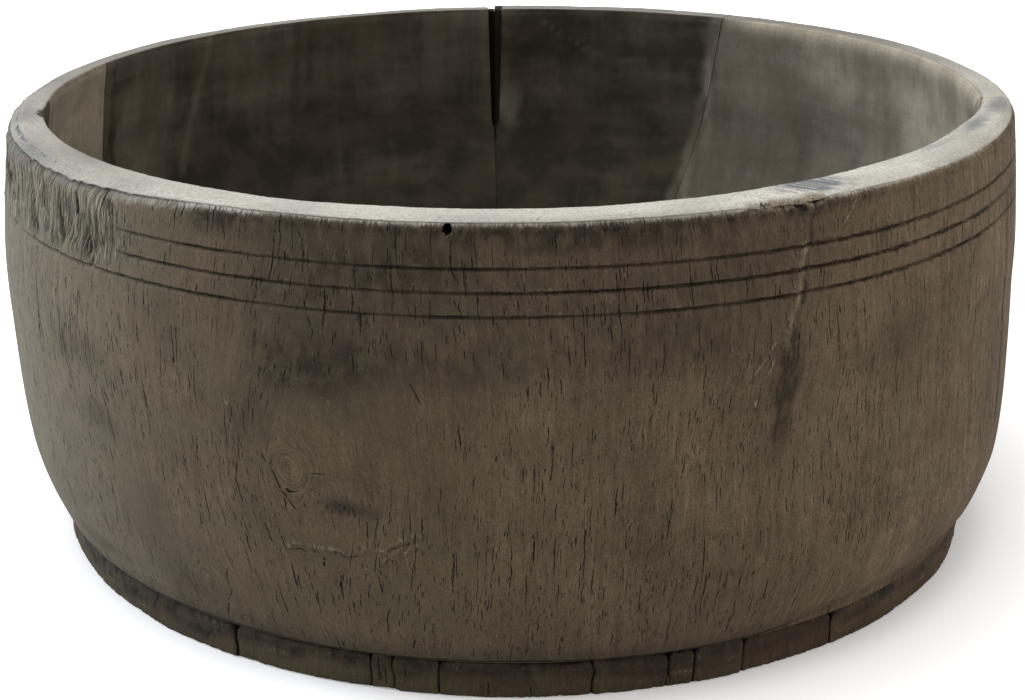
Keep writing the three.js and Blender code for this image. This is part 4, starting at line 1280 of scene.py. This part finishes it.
room = {
    "sky": "#ffffff", "skyStrength": 0.38, "paper": "#dad8d3", "size": 4.0,
    # how much the paper shines near the bowl and far out, and between which distances in metres that grows
    "lift": (0.22, 1.0), "liftAt": (0.5, 1.6),
}
lamps = {
    # soft boxes: where each stands in metres, its size, its colour and its strength in watts
    "overhead": {"at": (-0.15, -0.1, 1.5), "size": 1.5, "colour": "#ffffff", "watts": 22.0},
    "left": {"at": (-1.7, 0.15, 0.85), "size": 0.9, "colour": "#eef4ff", "watts": 26.0},
    "right": {"at": (1.7, -0.5, 0.38), "size": 1.0, "colour": "#fff2e2", "watts": 9.5},
}


def seenRays(tree):
    # 1 for the rays that show the background: those of the camera, of reflections and through glass
    path = addNode(tree, "LightPath").node.outputs
    either = addNode(tree, "Math", (path["Is Camera Ray"], path["Is Glossy Ray"]), operation="MAXIMUM")
    return addNode(tree, "Math", (either, path["Is Transmission Ray"]), operation="MAXIMUM")


def makeRoom():
    white = toLinear("#ffffff")
    world = bpy.data.worlds.new("soft daylight")
    bpy.context.scene.world = world
    world.use_nodes = True
    world.node_tree.nodes.clear()
    add = partial(addNode, world.node_tree)
    light = add("Background", (toLinear(room["sky"]), room["skyStrength"]))
    paper = add("Background", (white, 1.0))
    add("OutputWorld", [add("MixShader", (seenRays(world.node_tree), light, paper))])

    # the floor looks white to the camera, lights the bowl as pale paper, and keeps the bowl's shadow
    half = room["size"] / 2
    corners = [(-half, -half, 0), (half, -half, 0), (half, half, 0), (-half, half, 0)]
    mesh = bpy.data.meshes.new("floor")
    mesh.from_pydata(corners, [], [(0, 1, 2, 3)])
    material = bpy.data.materials.new("pale paper")
    material.use_nodes = True
    tree = material.node_tree
    add, shader = partial(addNode, tree), tree.nodes["Principled BSDF"].inputs
    seen = seenRays(tree)
    colour = add("Mix", {0: seen, 6: toLinear(room["paper"]), 7: white}, 2, data_type="RGBA")
    # farther out, where the lamps don't reach, it has to shine more to stay white
    away = add("VectorMath", [add("TexCoord", output="Object")], "Value", operation="LENGTH")
    lift = add("MapRange", (away, *room["liftAt"], *room["lift"]))
    tree.links.new(colour, shader["Base Color"])
    tree.links.new(add("Math", (seen, lift), operation="MULTIPLY"), shader["Emission Strength"])
    shader["Emission Color"].default_value = white
    shader["Roughness"].default_value = 0.9
    mesh.materials.append(material)
    floor = bpy.data.objects.new("floor", mesh)
    bpy.context.scene.collection.objects.link(floor)

    for name, lamp in lamps.items():
        data = bpy.data.lights.new(name, "AREA")
        data.shape = "DISK"
        data.size = lamp["size"]
        data.energy = lamp["watts"]
        data.color = toLinear(lamp["colour"])[:3]
        light = bpy.data.objects.new(name, data)
        light.location = lamp["at"]
        light.rotation_euler = (-light.location).to_track_quat("-Z", "Y").to_euler()
        bpy.context.scene.collection.objects.link(light)
    bpy.context.scene.view_settings.view_transform = "Standard"


makeCamera()
makeRoom()
print("camera, lamps and floor made")

wallWood = makeWood("weathered hardwood, hewn and scraped", hewnHardwood)
for number, section in enumerate(sections):
    makeWallSection(section, sections[(number + 1) % len(sections)], wallWood)
makeFoot(makeWood("foot timber, sawn and worn", footTimber))
makeFloorBoard(makeWood("floor board, scraped", floorTimber))

# pegs and tongues keep their solids
pegWood = makeWood("split oak, whittled", splitOak, False)
for name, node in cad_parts.items():
    if name.startswith("foot_peg") or name.startswith("wall_tongue"):
        node.data.materials.clear()
        node.data.materials.append(pegWood)
print("pegs and tongues finished")
